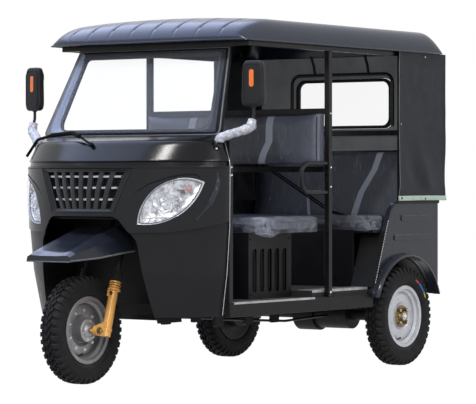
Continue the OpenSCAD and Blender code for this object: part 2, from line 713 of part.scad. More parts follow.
// front wheel with its hub and brake drum
front_hub_r = 58;
drum_r = 70;
drum_w = 40;
hub_half = 60;
module front_rim() color("#b3b6bb") turned() difference() {
  union() {
    barrel();
    disc(front_hub_r - cl, 0);
    translate([0, -disc_t * 3]) square([front_hub_r, hub_half - disc_t]);
    translate([0, -hub_half + disc_t]) square([drum_r * 0.4, 2 * hub_half - 2 * disc_t]);
    translate([0, -hub_half + disc_t]) square([drum_r, drum_w - 2 * disc_t]);
  }
  square([2 * (axle_r + 2 * cl), 4 * hub_half], center = true);
}
module at_front() { translate([0, 0, axle_z]) children(); }
module at_left() { translate([half_track, wheelbase, axle_z]) children(); }
module at_right() { mirror([1, 0, 0]) at_left() children(); }
module front_tyre() color("#18181a") at_front() tyre();
module rear_tyre_left() color("#18181a") at_left() tyre();
module rear_tyre_right() color("#18181a") at_right() tyre();
module front_wheel_rim() at_front() front_rim();
module rear_rim_left() at_left() rear_rim();
module rear_rim_right() at_right() rear_rim();

// rear axle, motor and springs
tube_axle_r = 30;
drum_rear_r = 92;
drum_rear_w = 44;
diff_r = 92;
diff_w = 130;
// drums stand just inside the rims, spindles enter the hub bores
drum_x = half_track - rim_w / 2 - wide_cl;
spindle_r = hub_bore - 2 * cl;
spindle_x = half_track + rear_out - 2 * disc_t + bore_deep - wide_cl;
module rear_axle() color("#1a1b1d") translate([0, wheelbase, axle_z]) {
  rotate([0, 90, 0]) {
    translate([0, 0, -drum_x]) cylinder(h = 2 * drum_x, r = tube_axle_r);
    translate([0, 0, -spindle_x]) cylinder(h = 2 * spindle_x, r = spindle_r);
    translate([0, 0, -diff_w / 2]) cylinder(h = diff_w, r = diff_r);
    for (s = [-1, 1]) translate([0, 0, s > 0 ? drum_x - drum_rear_w : -drum_x])
      cylinder(h = drum_rear_w, r = drum_rear_r);
  }
}
motor_r = 78;
motor_len = 210;
module drive_motor() color("#2b2d30")
  translate([diff_w / 2 + cl, wheelbase, axle_z]) rotate([0, 90, 0]) difference() {
    cylinder(h = motor_len, r = motor_r);
    translate([0, 0, -cl]) cylinder(h = 2 * motor_len, r = tube_axle_r + cl);
  }
spring_x = 360;
spring_w = 50;
spring_n = 4;
leaf_t = 9;
spring_half = 325;
spring_drop = 40;
spring_seat = tube_axle_r + cl;
// a leaf seen from the side, an arc bowed down at the axle
module leaf(half, i) {
  r = (spring_half * spring_half + spring_drop * spring_drop) / (2 * spring_drop);
  a = asin(half / r);
  translate([wheelbase, axle_z + spring_seat + (spring_n - 1) * leaf_t + r]) difference() {
    intersection() {
      circle(r + i * leaf_t, $fn = 360);
      polygon([[0, 0], [-2 * r * sin(a), -2 * r * cos(a)], [2 * r * sin(a), -2 * r * cos(a)]]);
    }
    circle(r + (i - 1) * leaf_t, $fn = 360);
  }
}
hanger_t = 28;
hanger_z = axle_z + spring_seat + (spring_n - 1) * leaf_t + leaf_t + spring_drop + cl;
module leaf_springs() color("#1e1f21") both() {
  along_x(spring_x - spring_w / 2, spring_x + spring_w / 2)
    for (i = [0 : spring_n - 1]) leaf(spring_half * (1 - i / (spring_n + 1)), i);
  block([cross_out, wheelbase - spring_half - hanger_t / 2, hanger_z],
    [spring_x + spring_w / 2, wheelbase - spring_half + hanger_t / 2, floor_low]);
  block([cross_out, rail_y1 - hanger_t, hanger_z],
    [spring_x + spring_w / 2, rail_y1, floor_low + kick_h]);
}

// rear body: side panels with wheel openings, flares, housings, rear wall
panel_x0 = half_w - panel_t;
flare_t = 15;
flare_out = 44;
panel_drop = 19;
panel_low = floor_z - panel_drop;
panel_y1 = rear_post_y;
// front edge of the panels, ahead of the rear axle and below the waist
edge_fores = [298, 284, 158, 128, 90, 36];
edge_drops = [waist_z - panel_low, waist_z - panel_low - 3 * panel_t, 100, 44, 14, 0];
panel_front = [for (i = [0 : len(edge_fores) - 1]) [wheelbase - edge_fores[i], waist_z - edge_drops[i]]];
module panel_side() difference() {
  polygon(concat(panel_front, [[panel_y1, waist_z], [panel_y1, panel_low]]));
  translate([wheelbase, axle_z]) circle(arch_r, $fn = 96);
}
// two pressed ribs on each panel
rib_t = 5;
rib_h = 30;
rib_fores = [25, 95];
rib_tails = [262, 300];
rib_drops = [93, 196];
grey_z = 1167;
notch_x = 270;
notch_gap = 14;
notch_z = tow_z + tow_h / 2 + notch_gap;
module rear_panels() color("#141517") {
  both() {
    along_x(panel_x0, half_w) panel_side();
    for (i = [0, 1]) along_x(half_w - cl, half_w + rib_t)
      translate([wheelbase + (rib_tails[i] - rib_fores[i]) / 2, waist_z - rib_drops[i]])
        soft_rect(rib_fores[i] + rib_tails[i], rib_h, rib_h * 0.4);
  }
  // the rear panel leaves the tow plate open at its foot
  along_y(rear_post_y + cl, rear_post_y + panel_t) difference() {
    translate([-half_w, panel_low]) square([body_w, grey_z - panel_low]);
    translate([-notch_x, panel_low - panel_t]) square([2 * notch_x, notch_z - panel_low + panel_t]);
  }
}
module arch_ring(r0, r1, low) intersection() {
  translate([wheelbase, axle_z]) difference() { circle(r1, $fn = 96); circle(r0, $fn = 96); }
  translate([wheelbase - 2 * arch_r, low]) square([4 * arch_r, 4 * arch_r]);
}
housing_gap = 61;
housing_x = half_track - tyre_w / 2 - housing_gap;
housing_t = 5;
// outer flares and the inner housings over the wheels
module wheel_arches() color("#191b22") both() {
  along_x(half_w + cl, half_w + flare_out) arch_ring(arch_r, arch_r + flare_t, panel_low);
  along_x(housing_x - cl, panel_x0 - cl) arch_ring(arch_r - housing_t, arch_r, floor_z + cl);
  along_x(housing_x - housing_t, housing_x) intersection() {
    translate([wheelbase, axle_z]) circle(arch_r, $fn = 96);
    translate([wheelbase - 2 * arch_r, floor_low + kick_h + cl]) square([4 * arch_r, 4 * arch_r]);
  }
}
tail_t = 22;
// canvas wall over it with a rounded window
canvas_t = 8;
window_w = 640;
window_z = [1286, 1566];
window_r = 60;
wall_half = half_w - curtain_off;
module window_outline(gap) translate([0, (window_z[0] + window_z[1]) / 2])
  soft_rect(window_w - 2 * gap, window_z[1] - window_z[0] - 2 * gap, window_r - gap);
module rear_canvas() color("#55575a") along_y(rear_post_y + cl, rear_post_y + cl + canvas_t) difference() {
  translate([-wall_half, grey_z + cl]) square([2 * wall_half, roof_z - grey_z - 2 * cl]);
  window_outline(0);
}
pane_seal = 18;
// clear pane held by its own rubber rim
module rear_window() color("#0d0d0e") {
  along_y(rear_post_y - pane_seal, rear_post_y + canvas_t + pane_t) difference() {
    window_outline(cl);
    window_outline(pane_seal);
  }
  along_y(rear_post_y + wide_cl, rear_post_y + wide_cl + pane_t) window_outline(pane_seal - cl);
}
window_bar_z = 1262;
lamp_w = 70;
lamp_h = 150;
tail_z = 800;
tail_in = 80;
tail_x = half_w - tail_in;
module tail_lamps() color("#8f1a16") both()
  along_y(rear_post_y + panel_t + cl, rear_post_y + panel_t + tail_t)
    translate([tail_x, tail_z]) soft_rect(lamp_w, lamp_h, lamp_w / 4);

// side curtains with a pale batten at the hem
module curtains() color("#1a1b1c") both() {
  block([curtain_x, curtain_y0, waist_z + wide_cl], [curtain_x + curtain_t, curtain_y1, roof_z - cl]);
  block([curtain_x, curtain_y0, waist_z + wide_cl],
    [curtain_x + curtain_t + batten_t, curtain_y1, waist_z + batten_h]);
}

// driver's seat on its louvred box, battery inside
box_in = 160;
box_x = half_w - box_in;
box_y0 = 790;
box_t = 5;
box_z1 = seat_z - cushion_t;
slot_n = 5;
slot_w = 26;
slot_h = 220;
slot_pitch = 66;
slot_z = 540;
module seat_box() color("#1d1e1f") difference() {
  block([-box_x, box_y0, floor_z], [box_x, box_y1, box_z1 - cl]);
  block([-box_x + box_t, box_y0 + box_t, floor_z - box_t],
    [box_x - box_t, box_y1 - box_t, box_z1 - 2 * box_t]);
  for (i = [0 : slot_n - 1]) along_x(-2 * box_x, 2 * box_x)
    translate([(box_y0 + box_y1) / 2 + (i - (slot_n - 1) / 2) * slot_pitch, slot_z])
      soft_rect(slot_w, slot_h, slot_w / 2 - cl);
}
battery_w = 640;
battery_l = 260;
battery_h = 240;
module battery_pack() color("#303236")
  block([-battery_w / 2, box_y0 + 2 * panel_t, floor_z],
    [battery_w / 2, box_y0 + 2 * panel_t + battery_l, floor_z + battery_h]);
// a cushion seen from the side, pushed across
module cushion(w, y0, y1, z0, z1, r) {
  along_x(-w / 2, w / 2) translate([(y0 + y1) / 2, (z0 + z1) / 2]) soft_rect(y1 - y0, z1 - z0, r);
}
driver_w = body_w - 2 * driver_side;
bench_w = body_w - 2 * bench_side;
module driver_cushion() color("#2a2c31")
  cushion(driver_w, driver_y0, mid_post_y + post_t, box_z1, seat_z, cushion_t * 0.42);
rail_top_z = 1340;
rail_low_z = 1040;
back_t = 84;
module driver_backrest() color("#2a2c31") intersection() {
  cushion(bench_w, mid_post_y + post_t - back_t, mid_post_y + post_t, rail_low_z + post_t,
    rail_top_z, cushion_t * 0.3);
  block([-half_w, 0, rail_low_z + post_t + cl], [half_w, roof_y1, rail_top_z - cl]);
}
// armrest loops ahead of the mid posts
loop_r = 9;
loop_z = [936, 1086];
loop_y = 1125;
module arm_loops() color("#0f1011") both() translate([(post_x0 + post_x1) / 2, 0, 0]) {
  c = (loop_z[0] + loop_z[1]) / 2;
  h = (loop_z[1] - loop_z[0]) / 2;
  for (z = loop_z) rod([0, loop_y, z], [0, mid_post_y, z], loop_r);
  translate([0, loop_y, c]) rotate([0, 90, 0]) rotate([0, 0, 180])
    rotate_extrude(angle = 180) translate([h, 0]) circle(loop_r);
}

// rear bench
bench_y0 = wheelbase - bench_fore;
bench_panel_y = bench_y0 + 2 * wide_cl;
bench_t = 15;
bench_aft = 196;
bench_back_y = wheelbase + bench_aft;
bench_low_x = housing_x - housing_t - 2 * wide_cl;
module bench_base() color("#161718") {
  block([-bench_low_x, bench_panel_y, floor_z], [bench_low_x, bench_panel_y + bench_t, box_z1]);
  block([-panel_x0 + cl, bench_panel_y, box_z1 - bench_t],
    [panel_x0 - cl, rear_post_y - post_t - cl, box_z1]);
}
module bench_cushion() color("#2a2c31")
  cushion(bench_w, bench_y0, bench_back_y, box_z1 + cl, seat_z, cushion_t * 0.42);
bench_back_z = 1164;
bench_lean = 9;
bench_back_t = 80;
module bench_backrest() color("#2a2c31") translate([0, bench_back_y + cl, box_z1 + cl]) intersection() {
  rotate([-bench_lean, 0, 0]) along_x(-bench_w / 2, bench_w / 2)
    translate([bench_back_t / 2 + panel_t / 2, (bench_back_z - box_z1) / 2])
      soft_rect(bench_back_t, bench_back_z - box_z1, cushion_t * 0.4);
  block([-half_w, 0, 0], [half_w, rear_post_y - post_t - bench_back_y - 2 * cl, bench_back_z]);
}

// mirrors on bent arms from the sides of the cowl
mirror_out = 100;
mirror_y = 472;
mirror_z = 1471;
mirror_at = [half_w + mirror_out, mirror_y, mirror_z];
mirror_w = 118;
mirror_h = 226;
mirror_t = 44;
mirror_turn = 12;
arm_r = 8;
foot_a = [nose_as[26], nose_as[27]];
foot_z = [mix(belt_z, deck_z, 0.55), deck_z];
foot_r = 15;
foot_len = 18;
module mirror_arm() {
  p = nose_pt(foot_a[0], foot_z[0], 0);
  q = nose_pt(foot_a[1], foot_z[0], 0);
  s = nose_pt(foot_a[0], foot_z[1], 0);
  t = nose_pt(foot_a[1], foot_z[1], 0);
  n0 = cross(q - p, s - p);
  n = n0 / norm(n0);
  c = (p + q + s + t) / 4 + n * 2 * cl;
  low = mirror_at - [0, 0, mirror_h / 2 - 2 * arm_r];
  rod(c, c + n * foot_len, foot_r);
  bent_rod([c + n * foot_len / 2, c + n * foot_len + [0, 0, 2 * foot_len],
    [mix(c[0], low[0], 0.82), mix(c[1], low[1], 0.8), mix(c[2], low[2], 0.55)],
    low - [0, 0, 3 * foot_len], low], arm_r, [0, 1, 0]);
}
module mirror_head() {
  translate(mirror_at) rotate([0, 0, mirror_turn]) along_y(-mirror_t / 2, mirror_t / 2)
    soft_rect(mirror_w, mirror_h, mirror_w * 0.3);
}
module mirror_left() color("#1c1d1f") { mirror_arm(); mirror_head(); }
module mirror_right() color("#1c1d1f") mirror([1, 0, 0]) { mirror_arm(); mirror_head(); }

// wiper: pivot on the cowl, arm folded along the deck edge
wiper_r = 5;
// bends of the arm, heights from the deck's front edge
wiper_xs = [-60, -150, -330, -470, -540];
wiper_ys = [58, 118, 172, 225, 222];
wiper_ups = [24, 42, 34, 14, -70];
pivot_a = [nose_as[14], nose_as[15]];
module wiper() color("#0c0c0d") {
  p = nose_pt(pivot_a[0], foot_z[0], 0);
  q = nose_pt(pivot_a[1], foot_z[0], 0);
  s = nose_pt(pivot_a[0], foot_z[1], 0);
  n0 = cross(q - p, s - p);
  n = n0 / norm(n0);
  c = (p + q + s + nose_pt(pivot_a[1], foot_z[1], 0)) / 4 + n * 2 * cl;
  rod(c, c + n * foot_len, foot_r * 0.7);
  bent_rod(concat([c + n * foot_len * 0.6],
    [for (i = [0 : len(wiper_xs) - 1]) [wiper_xs[i], wiper_ys[i], deck_z + wiper_ups[i]]]), wiper_r, [0, 0, 1]);
}

module stand() { translate([0, -mid_y, 0]) children(); }

stand() chassis_frame();
stand() floor_pan();
stand() sills();
stand() front_bulkhead();
stand() steering_head();
stand() nose_panel();
stand() cowl();
stand() aprons();
stand() grille();
stand() headlamps();
stand() windscreen_frame();
stand() windscreen();
stand() wiper();
stand() cabin_posts();
stand() roof_frame();
stand() roof_shell();
stand() rear_panels();
stand() wheel_arches();
stand() rear_canvas();
stand() rear_window();
stand() tail_lamps();
stand() curtains();
stand() seat_box();
stand() battery_pack();
stand() driver_cushion();
stand() driver_backrest();
stand() arm_loops();
stand() bench_base();
stand() bench_cushion();
stand() bench_backrest();
stand() mirror_left();
stand() mirror_right();
stand() rear_axle();
stand() drive_motor();
stand() leaf_springs();
stand() fork_legs();
stand() fork_crown();
stand() handlebar();
stand() front_fender();
stand() front_tyre();
stand() front_wheel_rim();
stand() rear_tyre_left();
stand() rear_rim_left();
stand() rear_tyre_right();
stand() rear_rim_right();
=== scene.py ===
"""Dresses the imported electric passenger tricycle: finishes, fine forms, soft goods, light and camera."""

import json
import math

import bmesh
import bpy
from mathutils import Matrix, Vector, noise
from mathutils.bvhtree import BVHTree

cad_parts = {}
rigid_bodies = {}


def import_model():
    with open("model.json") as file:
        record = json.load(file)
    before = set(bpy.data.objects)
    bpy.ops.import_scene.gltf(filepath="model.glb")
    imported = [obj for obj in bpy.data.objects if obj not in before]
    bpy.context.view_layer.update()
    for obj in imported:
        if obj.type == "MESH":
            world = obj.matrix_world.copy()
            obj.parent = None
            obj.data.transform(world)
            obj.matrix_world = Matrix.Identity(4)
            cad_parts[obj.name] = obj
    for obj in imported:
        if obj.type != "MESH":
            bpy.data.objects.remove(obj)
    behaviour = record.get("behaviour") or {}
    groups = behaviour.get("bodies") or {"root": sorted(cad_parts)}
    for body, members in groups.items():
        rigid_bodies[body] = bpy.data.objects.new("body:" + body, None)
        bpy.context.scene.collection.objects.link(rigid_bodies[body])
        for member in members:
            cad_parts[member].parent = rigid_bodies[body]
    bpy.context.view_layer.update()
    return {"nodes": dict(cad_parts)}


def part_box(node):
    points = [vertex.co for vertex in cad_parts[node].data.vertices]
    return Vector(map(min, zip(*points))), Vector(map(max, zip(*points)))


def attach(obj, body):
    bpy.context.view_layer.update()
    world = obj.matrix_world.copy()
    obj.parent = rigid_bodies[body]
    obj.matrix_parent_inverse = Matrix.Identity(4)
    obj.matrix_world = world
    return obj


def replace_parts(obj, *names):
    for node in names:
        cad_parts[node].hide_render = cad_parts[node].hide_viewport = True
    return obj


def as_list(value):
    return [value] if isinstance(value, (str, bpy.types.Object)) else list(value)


for old in list(bpy.data.objects):
    bpy.data.objects.remove(old)
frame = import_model()
nodes = frame["nodes"]
scene = bpy.context.scene
scene.view_settings.view_transform = "Standard"
# lengths below are millimetres, counted from the front axle as in the part's source
MID = 1070.0
SIN, COS, RAD = math.sin, math.cos, math.radians
IOR = 1.45
DUST = (0.23, 0.22, 0.2)


def row(p):
    return (p[0] * 0.001, (p[1] - MID) * 0.001, p[2] * 0.001)


def mix(a, b, f):
    return a + (b - a) * f


def spread(a, b, n):
    return [mix(a, b, i / (n - 1)) for i in range(n)]


def smooth(e0, e1, x):
    t = min(1.0, max(0.0, (x - e0) / (e1 - e0)))
    return t * t * (3 - 2 * t)


# node helpers for the finishes
def link(nt, a, b):
    nt.links.new(a, b)


def coords(nt, scale=(1, 1, 1), turn=(0, 0, 0)):
    tc = nt.nodes.new("ShaderNodeTexCoord")
    mp = nt.nodes.new("ShaderNodeMapping")
    mp.inputs["Scale"].default_value = scale
    mp.inputs["Rotation"].default_value = turn
    link(nt, tc.outputs["Object"], mp.inputs["Vector"])
    return mp.outputs["Vector"]


def noise_at(nt, vec, scale, detail=4.0, rough=0.55, distort=0.0):
    n = nt.nodes.new("ShaderNodeTexNoise")
    n.inputs["Scale"].default_value = scale
    n.inputs["Detail"].default_value = detail
    n.inputs["Roughness"].default_value = rough
    n.inputs["Distortion"].default_value = distort
    link(nt, vec, n.inputs["Vector"])
    return n.outputs["Fac"]


def span(nt, value, a, b, lo, hi):
    m = nt.nodes.new("ShaderNodeMapRange")
    for key, x in zip(("From Min", "From Max", "To Min", "To Max"), (a, b, lo, hi)):
        m.inputs[key].default_value = x
    link(nt, value, m.inputs["Value"])
    return m.outputs["Result"]


def calc(nt, op, a, b):
    m = nt.nodes.new("ShaderNodeMath")
    m.operation = op
    for i, x in enumerate((a, b)):
        if isinstance(x, (int, float)):
            m.inputs[i].default_value = x
        else:
            link(nt, x, m.inputs[i])
    return m.outputs[0]


def tint(nt, fac, c0, c1):
    r = nt.nodes.new("ShaderNodeMix")
    r.data_type = "RGBA"
    link(nt, fac, r.inputs["Factor"])
    for key, c in (("A", c0), ("B", c1)):
        sock = [s for s in r.inputs if s.name == key and s.type == "RGBA"][0]
        if isinstance(c, (tuple, list)):
            sock.default_value = (*c[:3], 1)
        else:
            link(nt, c, sock)
    return [s for s in r.outputs if s.type == "RGBA"][0]


# scale of the wave texture times the pitch of the threads
WAVE_SHARE = 3.14 / 6.2832


def weave(nt, pitch):
    """Two crossed sets of bands, one thread each."""
    out = []
    for axis in ("Y", "Z"):
        w = nt.nodes.new("ShaderNodeTexWave")
        w.wave_type = "BANDS"
        w.bands_direction = axis
        w.inputs["Scale"].default_value = WAVE_SHARE / pitch
        w.inputs["Distortion"].default_value = 0.6
        w.inputs["Detail"].default_value = 1.0
        link(nt, coords(nt), w.inputs["Vector"])
        out.append(w.outputs["Fac"])
    return calc(nt, "MULTIPLY", *out)


def finish(name, base, other, rough, mottle, vary, grain=None, grain_scale=300.0, depth=0.0003, metal=0.0,
           coat=0.0, coat_rough=0.08, spec=0.18, dust=0.0, sheen=0.0, alpha=1.0, glow=0.0, crease=0.0):
    """One procedural surface: mottled colour, uneven roughness, a relief and dust on what faces up."""
    m = bpy.data.materials.new(name)
    m.use_nodes = True
    nt = m.node_tree
    b = nt.nodes["Principled BSDF"]
    vec = coords(nt)
    fac = span(nt, noise_at(nt, vec, mottle, 5.0, 0.6), 0.3, 0.7, 0.0, 1.0)
    colour = tint(nt, fac, base, other)
    low, high = max(0.02, rough - vary), min(1.0, rough + vary)
    r = span(nt, noise_at(nt, vec, mottle * 6, 4.0, 0.65), 0.25, 0.75, low, high)
    if dust > 0:
        geo = nt.nodes.new("ShaderNodeNewGeometry")
        sep = nt.nodes.new("ShaderNodeSeparateXYZ")
        link(nt, geo.outputs["Normal"], sep.inputs[0])
        up = span(nt, sep.outputs["Z"], 0.2, 1.0, 0.0, 1.0)
        patch = span(nt, noise_at(nt, vec, mottle * 2.3, 6.0, 0.7), 0.35, 0.75, 0.15, 1.0)
        d = calc(nt, "MULTIPLY", calc(nt, "MULTIPLY", up, patch), dust)
        colour = tint(nt, d, colour, DUST)
        r = calc(nt, "ADD", r, calc(nt, "MULTIPLY", d, 0.5))
    link(nt, colour, b.inputs["Base Color"])
    link(nt, r, b.inputs["Roughness"])
    for socket, value in (("Metallic", metal), ("Specular IOR Level", spec), ("Coat Weight", coat),
                          ("Coat Roughness", coat_rough), ("Sheen Weight", sheen), ("Alpha", alpha),
                          ("IOR", IOR)):
        b.inputs[socket].default_value = value
    if glow:
        link(nt, colour, b.inputs["Emission Color"])
        b.inputs["Emission Strength"].default_value = glow
    height = None
    if grain == "weave":
        height = weave(nt, grain_scale)
    elif grain in ("cells", "pebble"):
        v = nt.nodes.new("ShaderNodeTexVoronoi")
        v.feature = "F1" if grain == "pebble" else "DISTANCE_TO_EDGE"
        v.inputs["Scale"].default_value = grain_scale
        link(nt, vec, v.inputs["Vector"])
        height = span(nt, v.outputs["Distance"], 0.0, 0.5, 0.0, 1.0)
    elif grain:
        height = noise_at(nt, vec, grain_scale, 3.0, 0.6)
    if crease > 0:
        soft = noise_at(nt, coords(nt, (1, 1, 0.5)), 14, 3.0, 0.5, 1.2)
        lift = calc(nt, "MULTIPLY", soft, crease)
        height = lift if height is None else calc(nt, "ADD", height, lift)
    if height is not None:
        bump = nt.nodes.new("ShaderNodeBump")
        bump.inputs["Distance"].default_value = depth
        bump.inputs["Strength"].default_value = 0.8
        link(nt, height, bump.inputs["Height"])
        link(nt, bump.outputs["Normal"], b.inputs["Normal"])
    return m


